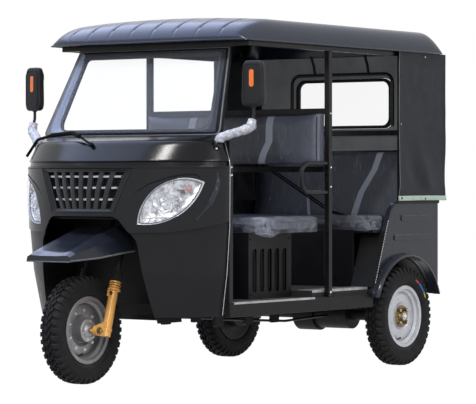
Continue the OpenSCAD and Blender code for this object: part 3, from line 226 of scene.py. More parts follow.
# each finish: name, two colours, roughness, mottle, variation, relief with its scale and depth, then the rest
FINISHES = {
    "gloss": finish("body_gloss", (0.011, 0.0112, 0.012), (0.016, 0.0163, 0.0175), 0.2, 3, 0.05, "peel", 90,
        0.0001, coat=0.2, coat_rough=0.2, spec=0.12, dust=0.03),
    "cowl": finish("cowl_gloss", (0.004, 0.0042, 0.005), (0.0065, 0.0068, 0.008), 0.2, 3, 0.05, "peel", 90,
        0.0001, coat=0.2, coat_rough=0.2, spec=0.12, dust=0.02),
    "apron": finish("apron_satin", (0.014, 0.014, 0.0145), (0.019, 0.019, 0.0195), 0.38, 4, 0.06, "peel",
        120, 0.0003, spec=0.16, dust=0.05),
    "roof": finish("roof_gloss", (0.015, 0.02, 0.034), (0.019, 0.025, 0.042), 0.26, 2.5, 0.03, "peel", 40,
        0.0001, coat=0.3, coat_rough=0.18, spec=0.2, dust=0.03),
    "screen": finish("screen_frame", (0.006, 0.0065, 0.008), (0.009, 0.01, 0.012), 0.42, 5, 0.04, "peel",
        150, 0.0001, coat=0.03, coat_rough=0.2, spec=0.05),
    "tube": finish("tube_paint", (0.006, 0.006, 0.0068), (0.01, 0.01, 0.011), 0.3, 9, 0.08, "peel", 220,
        0.0002, coat=0.1, dust=0.01),
    "chassis": finish("chassis_paint", (0.012, 0.012, 0.0125), (0.022, 0.02, 0.018), 0.55, 14, 0.15, "cast",
        500, 0.0005, dust=0.25),
    "box": finish("seat_box_paint", (0.007, 0.007, 0.0075), (0.012, 0.012, 0.0125), 0.42, 8, 0.1, "peel",
        260, 0.0003, dust=0.15),
    "sill": finish("sill_paint", (0.004, 0.004, 0.0043), (0.008, 0.008, 0.0083), 0.4, 12, 0.12, "peel", 240,
        0.0003, dust=0.06),
    "floor": finish("floor_sheet", (0.02, 0.02, 0.021), (0.04, 0.039, 0.037), 0.6, 7, 0.15, "pebble", 110,
        0.0012, dust=0.35),
    "worn": finish("worn_strip", (0.3, 0.295, 0.29), (0.55, 0.54, 0.54), 0.4, 14, 0.15, "brush", 500,
        0.0003, metal=0.6, dust=0.2),
    "arch": finish("arch_gloss", (0.016, 0.018, 0.026), (0.024, 0.027, 0.037), 0.26, 5, 0.06, "peel", 90,
        0.0001, coat=0.3, coat_rough=0.12, dust=0.05),
    "plastic": finish("black_plastic", (0.014, 0.014, 0.0145), (0.02, 0.02, 0.021), 0.42, 10, 0.08,
        "pebble", 900, 0.0002, dust=0.06),
    "grille": finish("grille_plastic", (0.02, 0.02, 0.021), (0.03, 0.03, 0.031), 0.3, 12, 0.06, "peel", 300,
        0.0002, coat=0.3, dust=0.08),
    "rubber": finish("seal_rubber", (0.01, 0.01, 0.0105), (0.017, 0.017, 0.0175), 0.6, 20, 0.1, "cast", 700,
        0.0003, dust=0.1),
    "tyre": finish("tyre_rubber", (0.012, 0.012, 0.0125), (0.024, 0.0235, 0.023), 0.7, 18, 0.12, "cast",
        420, 0.0005, spec=0.15, dust=0.3),
    "rim": finish("rim_silver", (0.5, 0.51, 0.525), (0.64, 0.645, 0.66), 0.38, 9, 0.12, "peel", 400, 0.0002,
        metal=0.55, dust=0.15),
    # the front rim: a darker copy of the rim silver, painted shade, as the front wheel stands in shadow
    "dull": finish("front_rim_silver_painted_shade", (0.2, 0.2, 0.198), (0.33, 0.33, 0.325), 0.42, 9, 0.12, "peel", 400,
        0.0002, metal=0.5, dust=0.15),
    "fender": finish("fender_gloss", (0.012, 0.014, 0.02), (0.016, 0.019, 0.027), 0.22, 3, 0.04, "peel", 60,
        0.0001, coat=0.3, coat_rough=0.1, spec=0.2, dust=0.02),
    # lavender for the windscreen pillar's inner strip: painted reflection of the sky in the glass
    "glass_reflection_paint": finish("painted_sky_reflection", (0.17, 0.2, 0.27), (0.24, 0.27, 0.35), 0.3, 8, 0.06, "peel", 120, 0.0001,
        coat=0.2),
    "matt": finish("wiper_black", (0.004, 0.004, 0.0042), (0.007, 0.007, 0.0072), 0.75, 30, 0.1, "cast",
        500, 0.0002, spec=0.05),
    "drum": finish("cast_drum", (0.3, 0.3, 0.305), (0.44, 0.44, 0.44), 0.5, 25, 0.15, "cast", 500, 0.0006,
        metal=0.8),
    "zinc": finish("gold_zinc", (0.3, 0.22, 0.11), (0.12, 0.085, 0.045), 0.34, 40, 0.14, "cast", 600,
        0.0003, metal=1.0),
    "steel": finish("bolt_steel", (0.5, 0.5, 0.51), (0.68, 0.68, 0.69), 0.28, 60, 0.12, "brush", 900,
        0.0001, metal=1.0),
    "gold": finish("gold_fork", (0.86, 0.4, 0.08), (0.95, 0.5, 0.12), 0.32, 16, 0.1, "peel", 260, 0.0003,
        coat=0.35, dust=0.05),
    "lens": finish("lamp_lens", (0.93, 0.95, 0.98), (0.98, 0.98, 1.0), 0.06, 10, 0.03, "peel", 60, 0.0006,
        spec=0.5, alpha=0.14),
    "glass": finish("screen_glass", (0.8, 0.85, 0.9), (0.86, 0.9, 0.94), 0.05, 4, 0.03, "peel", 12, 0.0002,
        spec=0.5, alpha=0.05),
    "pane": finish("vinyl_pane", (0.9, 0.92, 0.94), (0.94, 0.95, 0.96), 0.12, 5, 0.05, "peel", 9, 0.001,
        spec=0.4, alpha=0.05),
    "amber": finish("amber_reflector", (0.85, 0.16, 0.02), (0.95, 0.24, 0.04), 0.2, 40, 0.06, "cells", 260,
        0.0008, coat=0.6),
    "red": finish("tail_lens", (0.42, 0.012, 0.012), (0.55, 0.03, 0.025), 0.18, 30, 0.06, "cells", 200,
        0.0008, coat=0.6),
    "mirror": finish("mirror_glass", (0.82, 0.84, 0.86), (0.88, 0.9, 0.92), 0.04, 6, 0.02, "peel", 20,
        0.0001, metal=1.0),
    "canvas": finish("black_canvas", (0.014, 0.0155, 0.0175), (0.022, 0.024, 0.0265), 0.62, 5, 0.1, "weave",
        0.0022, 0.0005, spec=0.2, sheen=0.1, crease=0.5),
    # the grey canvas glows: painted light that stands for daylight through the canvas
    "grey": finish("grey_canvas", (0.1, 0.103, 0.105), (0.14, 0.143, 0.145), 0.7, 6, 0.1, "weave", 0.0025,
        0.0005, spec=0.15, sheen=0.1, glow=0.35, crease=0.4),
    "green": finish("hem_batten", (0.5, 0.66, 0.46), (0.68, 0.8, 0.62), 0.4, 24, 0.1, "peel", 300, 0.0003,
        dust=0.15),
    "case": finish("battery_case", (0.03, 0.031, 0.034), (0.045, 0.046, 0.05), 0.5, 12, 0.1, "pebble", 500,
        0.0004, dust=0.2),
    "motor": finish("motor_case", (0.016, 0.016, 0.017), (0.032, 0.031, 0.03), 0.5, 20, 0.15, "cast", 420,
        0.0006, metal=0.2, dust=0.3),
    "ground": finish("studio_floor", (0.3, 0.3, 0.3), (0.32, 0.32, 0.32), 0.8, 1, 0.05, spec=0.1),
    # near black for the grille's mesh and dark lamp lines, also painted shade in the nose's brows and groove
    "void": finish("near_black_and_painted_shade", (0.004, 0.004, 0.004), (0.007, 0.007, 0.007), 0.7, 30, 0.1, "cells", 160,
        0.002),
    "bulb": finish("bulb_red", (0.75, 0.07, 0.02), (0.85, 0.16, 0.05), 0.15, 60, 0.05, "peel", 80, 0.0003,
        coat=0.5),
    "border": finish("lamp_border", (0.32, 0.325, 0.335), (0.6, 0.61, 0.63), 0.2, 40, 0.08, "cells", 60,
        0.001, metal=0.3, coat=0.6),
    # the reflector's faint glow is painted light; the lamp is not lit
    "silver": finish("lamp_silver", (0.16, 0.165, 0.175), (0.96, 0.96, 0.97), 0.2, 42, 0.08, "cells", 30,
        0.002, metal=0.4, coat=0.4, glow=0.06),
    # bright metal for the door's edge trim, also painted highlight on the grille's ledges and the rear panel's
    # bead
    "glint": finish("bright_metal_and_painted_highlight", (0.42, 0.42, 0.43), (0.6, 0.6, 0.61), 0.25, 60, 0.1, "peel", 300,
        0.0002, metal=0.5),
    # mid grey for the curtains' and the screen's edges, also painted highlight on the fender's and ribs' edges
    # and painted light on the screen's pillar
    "rimgrey": finish("grey_edge_and_painted_highlight", (0.11, 0.115, 0.11), (0.17, 0.175, 0.165), 0.5, 24, 0.1, "cast", 500,
        0.0003),
    "wrap": finish("bubble_film", (0.3, 0.305, 0.31), (0.78, 0.79, 0.8), 0.3, 150, 0.12, "pebble", 130,
        0.006, coat=0.2, spec=0.4),
    "mark_red": finish("mark_red", (0.6, 0.05, 0.04), (0.7, 0.1, 0.07), 0.5, 60, 0.1, "peel", 300, 0.0003),
    "mark_blue": finish("mark_blue", (0.03, 0.16, 0.5), (0.06, 0.24, 0.6), 0.5, 60, 0.1, "peel", 300,
        0.0003),
    "mark_yellow": finish("mark_yellow", (0.6, 0.42, 0.06), (0.7, 0.5, 0.1), 0.5, 60, 0.1, "peel", 300,
        0.0003),
    # whitish film: partly its own milkiness, partly painted highlights of its creases
    "film": finish("clear_film", (0.6, 0.62, 0.72), (0.82, 0.84, 0.9), 0.2, 30, 0.1, "cells", 34, 0.003,
        spec=0.4, crease=1.0),
    "piping": finish("seat_piping", (0.03, 0.032, 0.04), (0.045, 0.048, 0.058), 0.3, 50, 0.1, "cells", 500,
        0.0003),
}


# mesh helpers
def shade(me, deg):
    for p in me.polygons:
        p.use_smooth = True
    me.set_sharp_from_angle(angle=RAD(deg))


class Shape:
    """Vertices in part millimetres, faces and a finish number for each face."""

    def __init__(self):
        self.v, self.f, self.m = [], [], []

    def put(self, made, m=0):
        n = len(self.v)
        self.v += [tuple(p) for p in made[0]]
        self.f += [tuple(i + n for i in f) for f in made[1]]
        self.m += [m] * len(made[1])
        return self

    def make(self, name, mats, body="body", deg=35, solid=True):
        me = bpy.data.meshes.new(name)
        me.from_pydata([row(p) for p in self.v], [], self.f)
        me.validate()
        for k in mats if isinstance(mats, (list, tuple)) else [mats]:
            me.materials.append(FINISHES[k])
        me.polygons.foreach_set("material_index", self.m[: len(me.polygons)])
        if solid:
            bm = bmesh.new()
            bm.from_mesh(me)
            bmesh.ops.recalc_face_normals(bm, faces=bm.faces)
            bm.to_mesh(me)
            bm.free()
        shade(me, deg)
        ob = bpy.data.objects.new(name, me)
        scene.collection.objects.link(ob)
        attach(ob, body)
        return ob


def grid(fn, m, n, close_u=False, close_v=False):
    v = [fn(i, j) for i in range(m) for j in range(n)]
    f = []
    for i in range(m if close_u else m - 1):
        for j in range(n if close_v else n - 1):
            a, b = i * n + j, ((i + 1) % m) * n + j
            c, d = ((i + 1) % m) * n + (j + 1) % n, i * n + (j + 1) % n
            f.append((a, b, c, d))
    return v, f


def thick(outer, inner):
    """A closed sheet from two grids of points of one size."""
    m, n = len(outer), len(outer[0])
    k = m * n
    v = [p for r in outer for p in r] + [p for r in inner for p in r]
    at = lambda i, j: i * n + j
    f = []
    for i in range(m - 1):
        for j in range(n - 1):
            q = (at(i, j), at(i + 1, j), at(i + 1, j + 1), at(i, j + 1))
            f += [q, tuple(x + k for x in reversed(q))]
        for j in (0, n - 1):
            f.append((at(i, j), at(i, j) + k, at(i + 1, j) + k, at(i + 1, j)))
    for j in range(n - 1):
        for i in (0, m - 1):
            f.append((at(i, j), at(i, j + 1), at(i, j + 1) + k, at(i, j) + k))
    return v, f


def box(lo, hi):
    v = [(x, y, z) for x in (lo[0], hi[0]) for y in (lo[1], hi[1]) for z in (lo[2], hi[2])]
    return v, [(0, 1, 3, 2), (4, 6, 7, 5), (0, 4, 5, 1), (2, 3, 7, 6), (0, 2, 6, 4), (1, 5, 7, 3)]


def basis(d):
    d = Vector(d).normalized()
    u = d.cross(Vector((0, 0, 1)) if abs(d.z) < 0.9 else Vector((1, 0, 0))).normalized()
    return d, u, d.cross(u)


def ring_faces(m, n, wrap=False):
    """Quads between m rings of n points; wrap joins the last ring to the first."""
    faces = []
    for i in range(m if wrap else m - 1):
        for k in range(n):
            j, q = (i + 1) % m, (k + 1) % n
            faces.append((i * n + k, i * n + q, j * n + q, j * n + k))
    return faces


def end_faces(m, n):
    """The first and the last of m rings of n points, closed."""
    return [tuple(range(n)), tuple(range((m - 1) * n, m * n))]


def prism_faces(n):
    """Faces of a prism with n points at each end."""
    ends = [tuple(range(n)), tuple(range(2 * n - 1, n - 1, -1))]
    return ends + [(i, (i + 1) % n, n + (i + 1) % n, n + i) for i in range(n)]


def turned(p, d, profile, n=24):
    """A round form about direction d from point p; the profile is (along, radius) pairs."""
    p = Vector(p)
    d, u, w = basis(d)
    spokes = [u * COS(2 * math.pi * k / n) + w * SIN(2 * math.pi * k / n) for k in range(n)]
    v = [p + d * a + q * r for a, r in profile for q in spokes]
    f = ring_faces(len(profile), n)
    for i in (0, len(profile) - 1):
        if profile[i][1] > 0.01:
            f.append(tuple(range(i * n, i * n + n)))
    return v, f


def bend(p, b, q, n):
    """A curve from p to q that leaves and meets the lines through b."""
    return [(p * (1 - s) + b * s) * (1 - s) + (b * (1 - s) + q * s) * s for s in spread(0, 1, n + 1)]


def rounded(points, r, n=6):
    """The path with its corners rounded to radius r."""
    pts = [Vector(p) for p in points]
    out = [pts[0]]
    for a, b, c in zip(pts, pts[1:], pts[2:]):
        u, w = (a - b).normalized(), (c - b).normalized()
        half = u.angle(w, math.pi) / 2
        t = min(r / max(math.tan(half), 1e-6), (a - b).length * 0.48, (c - b).length * 0.48)
        out += bend(b + u * t, b, b + w * t, n)
    return out + [pts[-1]]


def tube(path, r, n=12, closed=False):
    pts = [Vector(p) for p in path]
    m = len(pts)
    radius = r if callable(r) else (lambda s: r)
    v, u = [], None
    for i, p in enumerate(pts):
        a = pts[(i - 1) % m] if closed or i else p
        b = pts[(i + 1) % m] if closed or i < m - 1 else p
        d = (b - a).normalized()
        if u is None:
            u = basis(d)[1]
        u = (u - d * u.dot(d)).normalized()
        w = d.cross(u)
        q = radius(i / (m - 1))
        v += [p + (u * COS(2 * math.pi * k / n) + w * SIN(2 * math.pi * k / n)) * q for k in range(n)]
    f = ring_faces(m, n, closed)
    if not closed:
        f += end_faces(m, n)
    return v, f


def lofted_ends(rings):
    """Closed rings of one length joined in turn, with both ends closed."""
    n, m = len(rings[0]), len(rings)
    return [p for r in rings for p in r], ring_faces(m, n) + end_faces(m, n)


def lofted(rings):
    """Closed rings of one length joined in turn, the last to the first."""
    return [p for r in rings for p in r], ring_faces(len(rings), len(rings[0]), True)


def prism(poly, place, t0, t1):
    """A flat outline pushed from t0 to t1; place maps (u, v, t) to a point."""
    return [place(a, b, t) for t in (t0, t1) for a, b in poly], prism_faces(len(poly))


def hexbolt(p, d, r, h):
    """A bolt head of height h on its washer."""
    s = Shape()
    s.put(turned(p, d, [(0, r * 1.45), (h * 0.25, r * 1.45), (h * 0.3, r * 1.2)], 16))
    q = Vector(p) + Vector(d).normalized() * (h * 0.25)
    s.put(turned(q, d, [(0, r), (h * 0.8, r), (h, r * 0.82)], 6))
    return s.v, s.f


def soft_rect(w, h, r, n=6):
    out = []
    for sx, sy, a0 in ((1, 1, 0), (-1, 1, 90), (-1, -1, 180), (1, -1, 270)):
        for k in range(n + 1):
            a = RAD(a0 + 90 * k / n)
            out.append((sx * (w / 2 - r) + r * COS(a), sy * (h / 2 - r) + r * SIN(a)))
    return out


def settle(ob):
    """Applies the modifiers of a piece."""
    bpy.context.view_layer.update()
    me = bpy.data.meshes.new_from_object(ob.evaluated_get(bpy.context.evaluated_depsgraph_get()))
    ob.modifiers.clear()
    ob.data = me


def cut(ob, *tools):
    """Takes the tools away from a piece."""
    for t in tools:
        m = ob.modifiers.new("cut", "BOOLEAN")
        m.operation, m.solver, m.object = "DIFFERENCE", "EXACT", t
    settle(ob)
    for t in tools:
        bpy.data.objects.remove(t)
    shade(ob.data, 32)


def dress(name, key, bevel):
    """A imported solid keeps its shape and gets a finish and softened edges."""
    ob = nodes[name]
    me = ob.data
    if "custom_normal" in me.attributes:
        me.attributes.remove(me.attributes["custom_normal"])
    for p in me.polygons:
        p.use_smooth = True
    me.materials.clear()
    me.materials.append(FINISHES[key])
    weld = ob.modifiers.new("weld", "WELD")
    weld.merge_threshold = 0.00002
    edge = ob.modifiers.new("edge", "BEVEL")
    edge.width = bevel * 0.001
    edge.segments = 2
    edge.limit_method = "ANGLE"
    edge.angle_limit = RAD(32)
    edge.harden_normals = True


# camera, as fitted to the photograph: its width and focal length in pixels, its place, heading and dip
PHOTO_WIDE, FOCAL, SENSOR = 476, 2550.1, 36.0
EYE, HEADING, DIP = (7.932, -10.732, 1.0), RAD(35.87), RAD(0.4966)


def aim(ob, at, direction):
    ob.location = at
    ob.rotation_euler = Vector(direction).to_track_quat("-Z", "Y").to_euler()


cam = bpy.data.cameras.new("camera")
cam.sensor_fit, cam.sensor_width, cam.clip_end = "HORIZONTAL", SENSOR, 200
cam.lens = SENSOR * FOCAL / PHOTO_WIDE
eye = bpy.data.objects.new("camera", cam)
scene.collection.objects.link(eye)
aim(eye, EYE, (-SIN(HEADING) * COS(DIP), COS(HEADING) * COS(DIP), -SIN(DIP)))
scene.camera = eye


# lamps, sky and floor
def lamp(name, at, target, size, power, colour):
    data = bpy.data.lights.new(name, "AREA")
    data.shape, data.size, data.size_y = "RECTANGLE", *size
    data.energy, data.color = power, colour
    ob = bpy.data.objects.new(name, data)
    scene.collection.objects.link(ob)
    aim(ob, at, Vector(target) - Vector(at))


lamp("key", (1.5, -3.2, 5.6), (0.3, -0.7, 0.9), (0.8, 0.4), 120, (1.0, 0.98, 0.95))
lamp("sky", (-3.0, -0.6, 6.0), (-2.0, -0.6, 0), (10.0, 6.0), 600, (0.52, 0.63, 1.0))
lamp("front", (4.6, -7.4, 3.4), (0.2, -0.4, 0.8), (3.0, 2.2), 205, (1.0, 1.0, 1.0))
lamp("side", (6.5, 0.5, 3.6), (0, 0.5, 0.8), (3.0, 1.2), 95, (1.0, 0.99, 0.97))

world = bpy.data.worlds.new("sky")
scene.world = world
world.use_nodes = True
wt = world.node_tree
back = wt.nodes["Background"]
geo = wt.nodes.new("ShaderNodeTexCoord")
sep = wt.nodes.new("ShaderNodeSeparateXYZ")
link(wt, geo.outputs["Generated"], sep.inputs[0])
path = wt.nodes.new("ShaderNodeLightPath")
seen = calc(wt, "MAXIMUM", path.outputs["Is Camera Ray"], path.outputs["Is Transmission Ray"])
seen = calc(wt, "MAXIMUM", seen, path.outputs["Is Glossy Ray"])
overhead = tint(wt, span(wt, sep.outputs["Z"], 0.1, 0.95, 0.0, 1.0), (0.1, 0.102, 0.108), (0.62, 0.68, 0.95))
link(wt, tint(wt, seen, overhead, (1.0, 1.0, 1.0)), back.inputs["Color"])
back.inputs["Strength"].default_value = 1.0

gt = FINISHES["ground"].node_tree
glow = gt.nodes.new("ShaderNodeEmission")
glow.inputs["Strength"].default_value = 1.06
lit = gt.nodes.new("ShaderNodeMixShader")
ray = gt.nodes.new("ShaderNodeLightPath")
shown = calc(gt, "MAXIMUM", ray.outputs["Is Camera Ray"], ray.outputs["Is Glossy Ray"])
link(gt, calc(gt, "MULTIPLY", shown, 0.94), lit.inputs[0])
link(gt, gt.nodes["Principled BSDF"].outputs[0], lit.inputs[1])
link(gt, glow.outputs[0], lit.inputs[2])
link(gt, lit.outputs[0], gt.nodes["Material Output"].inputs["Surface"])
floor_corners = ((-40000, -40000), (40000, -40000), (40000, 42000), (-40000, 42000))
me = bpy.data.meshes.new("studio_floor")
me.from_pydata([row((x, y, -0.5)) for x, y in floor_corners], [], [(0, 1, 2, 3)])
me.materials.append(FINISHES["ground"])
floor_ob = bpy.data.objects.new("studio_floor", me)
scene.collection.objects.link(floor_ob)

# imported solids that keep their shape: node, finish and width of the softened edge
for name, key, bevel in (
    ("chassis_frame", "chassis", 1.5), ("floor_pan", "floor", 1.0), ("sills", "sill", 2.0),
    ("front_bulkhead", "box", 1.0), ("steering_head", "chassis", 1.5), ("windscreen", "glass", 0.5),
    ("wiper", "matt", 0.6), ("cabin_posts", "tube", 2.5), ("roof_frame", "tube", 1.5),
    ("rear_panels", "arch", 2.0),
    ("tail_lamps", "red", 1.5), ("seat_box", "box", 1.0), ("battery_pack", "case", 3.0),
    ("arm_loops", "tube", 0.5),
    ("bench_base", "box", 1.2), ("rear_axle", "chassis", 1.5), ("drive_motor", "motor", 2.0),
    ("leaf_springs", "chassis", 0.8), ("fork_legs", "gold", 1.2), ("fork_crown", "chassis", 1.2),
    ("handlebar", "plastic", 0.8), ("front_wheel_rim", "dull", 0.8), ("rear_rim_left", "rim", 0.8),
    ("rear_rim_right", "rim", 0.8),
):
    dress(name, key, bevel)

# nose, cowl and aprons; each row is height, half width, y of the widest place, depth and roundness
NOSE = ((330, 560, 400, 400, 1.5), (547.5, 585, 405, 418, 1.75), (765, 597, 410, 428, 1.88),
        (1078, 600, 410, 430, 1.9), (1190, 568, 410, 338, 1.9))


def nose_row(z):
    i = 0
    while i < len(NOSE) - 2 and z > NOSE[i + 1][0]:
        i += 1
    f = (z - NOSE[i][0]) / (NOSE[i + 1][0] - NOSE[i][0])
    return [mix(a, b, f) for a, b in zip(NOSE[i], NOSE[i + 1])]


def nose_pt(a, z, off):
    _, w, yc, d, n = nose_row(z)
    e = 2 / n
    return (math.copysign((w - off) * abs(SIN(RAD(a))) ** e, a), yc - (d - off) * max(COS(RAD(a)), 0) ** e, z)


nose_as = spread(-90, 90, 113)


def seam_z(a):
    """Lower edge of the nose, rising towards the door."""
    return 743 + 56 * max((abs(a) - 44) / 46, 0) ** 1.2


def nose_skin(low, high, off, n, depth=6):
    """A skin between two heights, each a function of the angle round the nose."""
    layer = lambda o: [[nose_pt(a, mix(low(a), high(a), k / (n - 1)), o) for k in range(n)] for a in nose_as]
    return thick(layer(off), layer(off + depth))


def nose_ridge(places, rise, sunk, n=40):
    """A bead along (angle, height) places of the nose, sunk into its skin, that rises most at mid-length."""
    pts = rounded([(a, z, 0) for a, z in places], 60, 8)
    line = []
    for k in range(n):
        s = k / (n - 1) * (len(pts) - 1)
        i = min(int(s), len(pts) - 2)
        p = pts[i].lerp(pts[i + 1], s - i)
        line.append(nose_pt(p.x, p.y, sunk))
    return tube(line, lambda s: sunk + rise * SIN(math.pi * mix(0.02, 0.98, s)) ** 0.6, 32)


def hull2(pts):
    """Convex outline round flat points."""
    turn = lambda o, a, b: (a[0] - o[0]) * (b[1] - o[1]) - (a[1] - o[1]) * (b[0] - o[0])
    pts = sorted(set(pts))
    out = []
    for seq in (pts, pts[::-1]):
        side = []
        for p in seq:
            while len(side) > 1 and turn(side[-2], side[-1], p) <= 0:
                side.pop()
            side.append(p)
        out += side[:-1]
    return out


ARCH_ROUNDS, ARCH_RADIUS, ARCH_FOOT = ((175, 762), (238, 680)), 60.0, (345.0, 277.0)


def arch_outline():
    """Opening for the front wheel: two rounds and a foot on each side, with straight lines between."""
    pts = []
    for x, z in ARCH_ROUNDS:
        for k in range(48):
            a = 2 * math.pi * k / 48
            pts += [(s * (x + ARCH_RADIUS * COS(a)), z + ARCH_RADIUS * SIN(a)) for s in (-1, 1)]
    return hull2(pts + [(s * ARCH_FOOT[0], ARCH_FOOT[1]) for s in (-1, 1)])


LAMP_AT, LAMP_AZ, LAMP_RISE = Vector((446, 135.5, 886)), RAD(38), RAD(32)


def leaf(gap, n=36):
    """Outline of a headlamp, from its outer tip over the top and back below."""
    h, up, low = 194.5, 104.0, 70.0
    out = []
    for bulge, s in ((up, 1), (low, -1)):
        r = (h * h + bulge * bulge) / (2 * bulge)
        half = math.asin((h - gap * 1.6) / (r - gap))
        for k in range(n):
            a = mix(half, -half, k / n)
            x, y = (r - gap) * SIN(a) * s, ((r - gap) * COS(a) - (r - bulge)) * s
            out.append((x * COS(LAMP_RISE) - y * SIN(LAMP_RISE), x * SIN(LAMP_RISE) + y * COS(LAMP_RISE)))
    return out


def lamp_place(u, v, t, side=1):
    x, y = LAMP_AT.x + u * COS(LAMP_AZ) - t * SIN(LAMP_AZ), LAMP_AT.y + u * SIN(LAMP_AZ) + t * COS(LAMP_AZ)
    return (side * x, y, LAMP_AT.z + v)


def lamp_pt(u, v, off, side=1):
    """The point of the lamp's plane pushed out to the nose's surface, off millimetres inside it."""
    _, w, yc, d, n = nose_row(LAMP_AT.z + v)
    lo, hi = -420.0, 120.0
    for _ in range(40):
        t = (lo + hi) / 2
        x, y, z = lamp_place(u, v, t)
        out = (abs(x) / (w - off)) ** n + (max(yc - y, 0) / (d - off)) ** n > 1
        lo, hi = (t, hi) if out else (lo, t)
    return lamp_place(u, v, lo, side)


def tool(made):
    return Shape().put(made).make("tool", "plastic")


flat_y = lambda u, v, t: (u, t, v)
CUT_FROM, ARCH_DEEP, LAMP_DEEP, GRILLE_DEEP = -600, 350, 125, 205
GRILLE_HOLE = [(-196, 842), (196, 842), (285, 1056), (-285, 1056)]
nose = Shape().put(nose_skin(seam_z, lambda a: 1066.7, 0, 20)).make("nose_skin", "gloss")
cut(nose, tool(prism(arch_outline(), flat_y, CUT_FROM, ARCH_DEEP)),
    tool(prism(leaf(0), lamp_place, CUT_FROM, LAMP_DEEP)),
    tool(prism(leaf(0), lambda u, v, t: lamp_place(u, v, t, -1), CUT_FROM, LAMP_DEEP)),
    tool(prism(GRILLE_HOLE, flat_y, CUT_FROM, GRILLE_DEEP)))
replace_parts(nose, "nose_panel")
apron = nose_skin(lambda a: 330, lambda a: max(764.9, seam_z(a) + 8), 6.2, 25)
apron = Shape().put(apron).make("apron_skin", "apron")
cut(apron, tool(prism(arch_outline(), flat_y, CUT_FROM, ARCH_DEEP)))
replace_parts(apron, "aprons")
# near-black beads are painted shade: under the brows over the lamps and in the groove under the cowl; the side
# creases are raised beads in the arch paint
ridges = Shape()
for side in (1, -1):
    brow = [(30, 925), (33, 950), (38, 981), (49, 1017), (58, 1028), (64, 1025), (65.6, 1010), (65.8, 998)]
    crease = [(78, 1038), (79, 1000), (77.6, 951), (73, 883), (64, 806)]
    ridges.put(nose_ridge([(side * a, z) for a, z in brow], 2.8, 1.0))
    ridges.put(nose_ridge([(side * a, z) for a, z in crease], 3.2, 19.0), 1)
ridges.put(tube([nose_pt(a, 1058, 0.4) for a in nose_as[2:-2]], 1.8, 8))
ridges.make("nose_ridges", ["void", "arch"], deg=60)

# the cowl's levels as (height, depth under the nose's rows), then its deck
levels = [(1067, 10), (1088.5, 10), (1089.5, 3), (1091, 0.6), (1093, 0)]
levels += [(z, 0) for z in spread(1100, 1174, 9)] + [(1182, 1.2), (1187, 4), (1190, 9)]
deck_shares = (0.08, 0.2, 0.4, 0.6, 0.8, 1.0)


def deck(a, f, drop):
    p, q = nose_pt(a, 1190, 9), nose_pt(a, 1190, 0)
    e = (q[0] * 0.97, max(375.7, q[1] + 0.3), 1221 - drop)
    rise = SIN(f * math.pi / 2) ** 0.9
    return (mix(p[0], e[0], f), mix(p[1], e[1], f), mix(1190 - drop, e[2], mix(f, rise, 0.5)))


def cowl_rows(deep, top):
    """The cowl's rows, deep millimetres inside it and no wall higher than top."""
    out = []
    for a in nose_as:
        wall = [nose_pt(a, min(z, top), o + deep) for z, o in levels]
        out.append(wall + [deck(a, f, deep) for f in deck_shares])
    return out


cowl = Shape().put(thick(cowl_rows(0, 1190), cowl_rows(6, 1184))).make("cowl_skin", "cowl", deg=40)
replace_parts(cowl, "cowl")

# headlamps
LAMP_MID = (-9.0, 14.4)
# dishes as (place, radius, finish of the bulb), folds of the reflector as (place, place, radius)
DISHES = ((-44, 12, 46, 3), (28, 20, 21, 3), (36, -18, 17, 3), (86, 68, 25, 2))
FOLDS = ((-92, -28, -40, 62, 5), (-70, -44, 0, 76, 4), (0, -44, 52, 36, 5), (-120, -60, -96, 6, 4),
         (60, 6, 108, 74, 4))
BOWL = [(0.93, 12), (0.9, 19), (0.8, 24), (0.55, 27), (0.3, 27), (0.02, 27)]
BORDER, LINE_SHARE = [(0.995, 2.5), (0.96, 6), (0.925, 10), (0.92, 14)], 0.925
LENS = [(1.0, 3), (0.995, -3), (0.98, -6), (0.95, -8), (0.88, -9), (0.6, -9), (0.3, -9), (0.02, -9)]


def lamp_disc(rings, side, outline, closed=True):
    """Rings from the rim inwards: (share of the outline, depth under the nose's surface)."""
    cx, cy = LAMP_MID
    n = len(outline)
    v = [lamp_pt(mix(cx, u, s), mix(cy, w, s), off, side) for s, off in rings for u, w in outline]
    f = ring_faces(len(rings), n)
    if closed:
        f.append(tuple(range((len(rings) - 1) * n, len(rings) * n)))
    return v, f


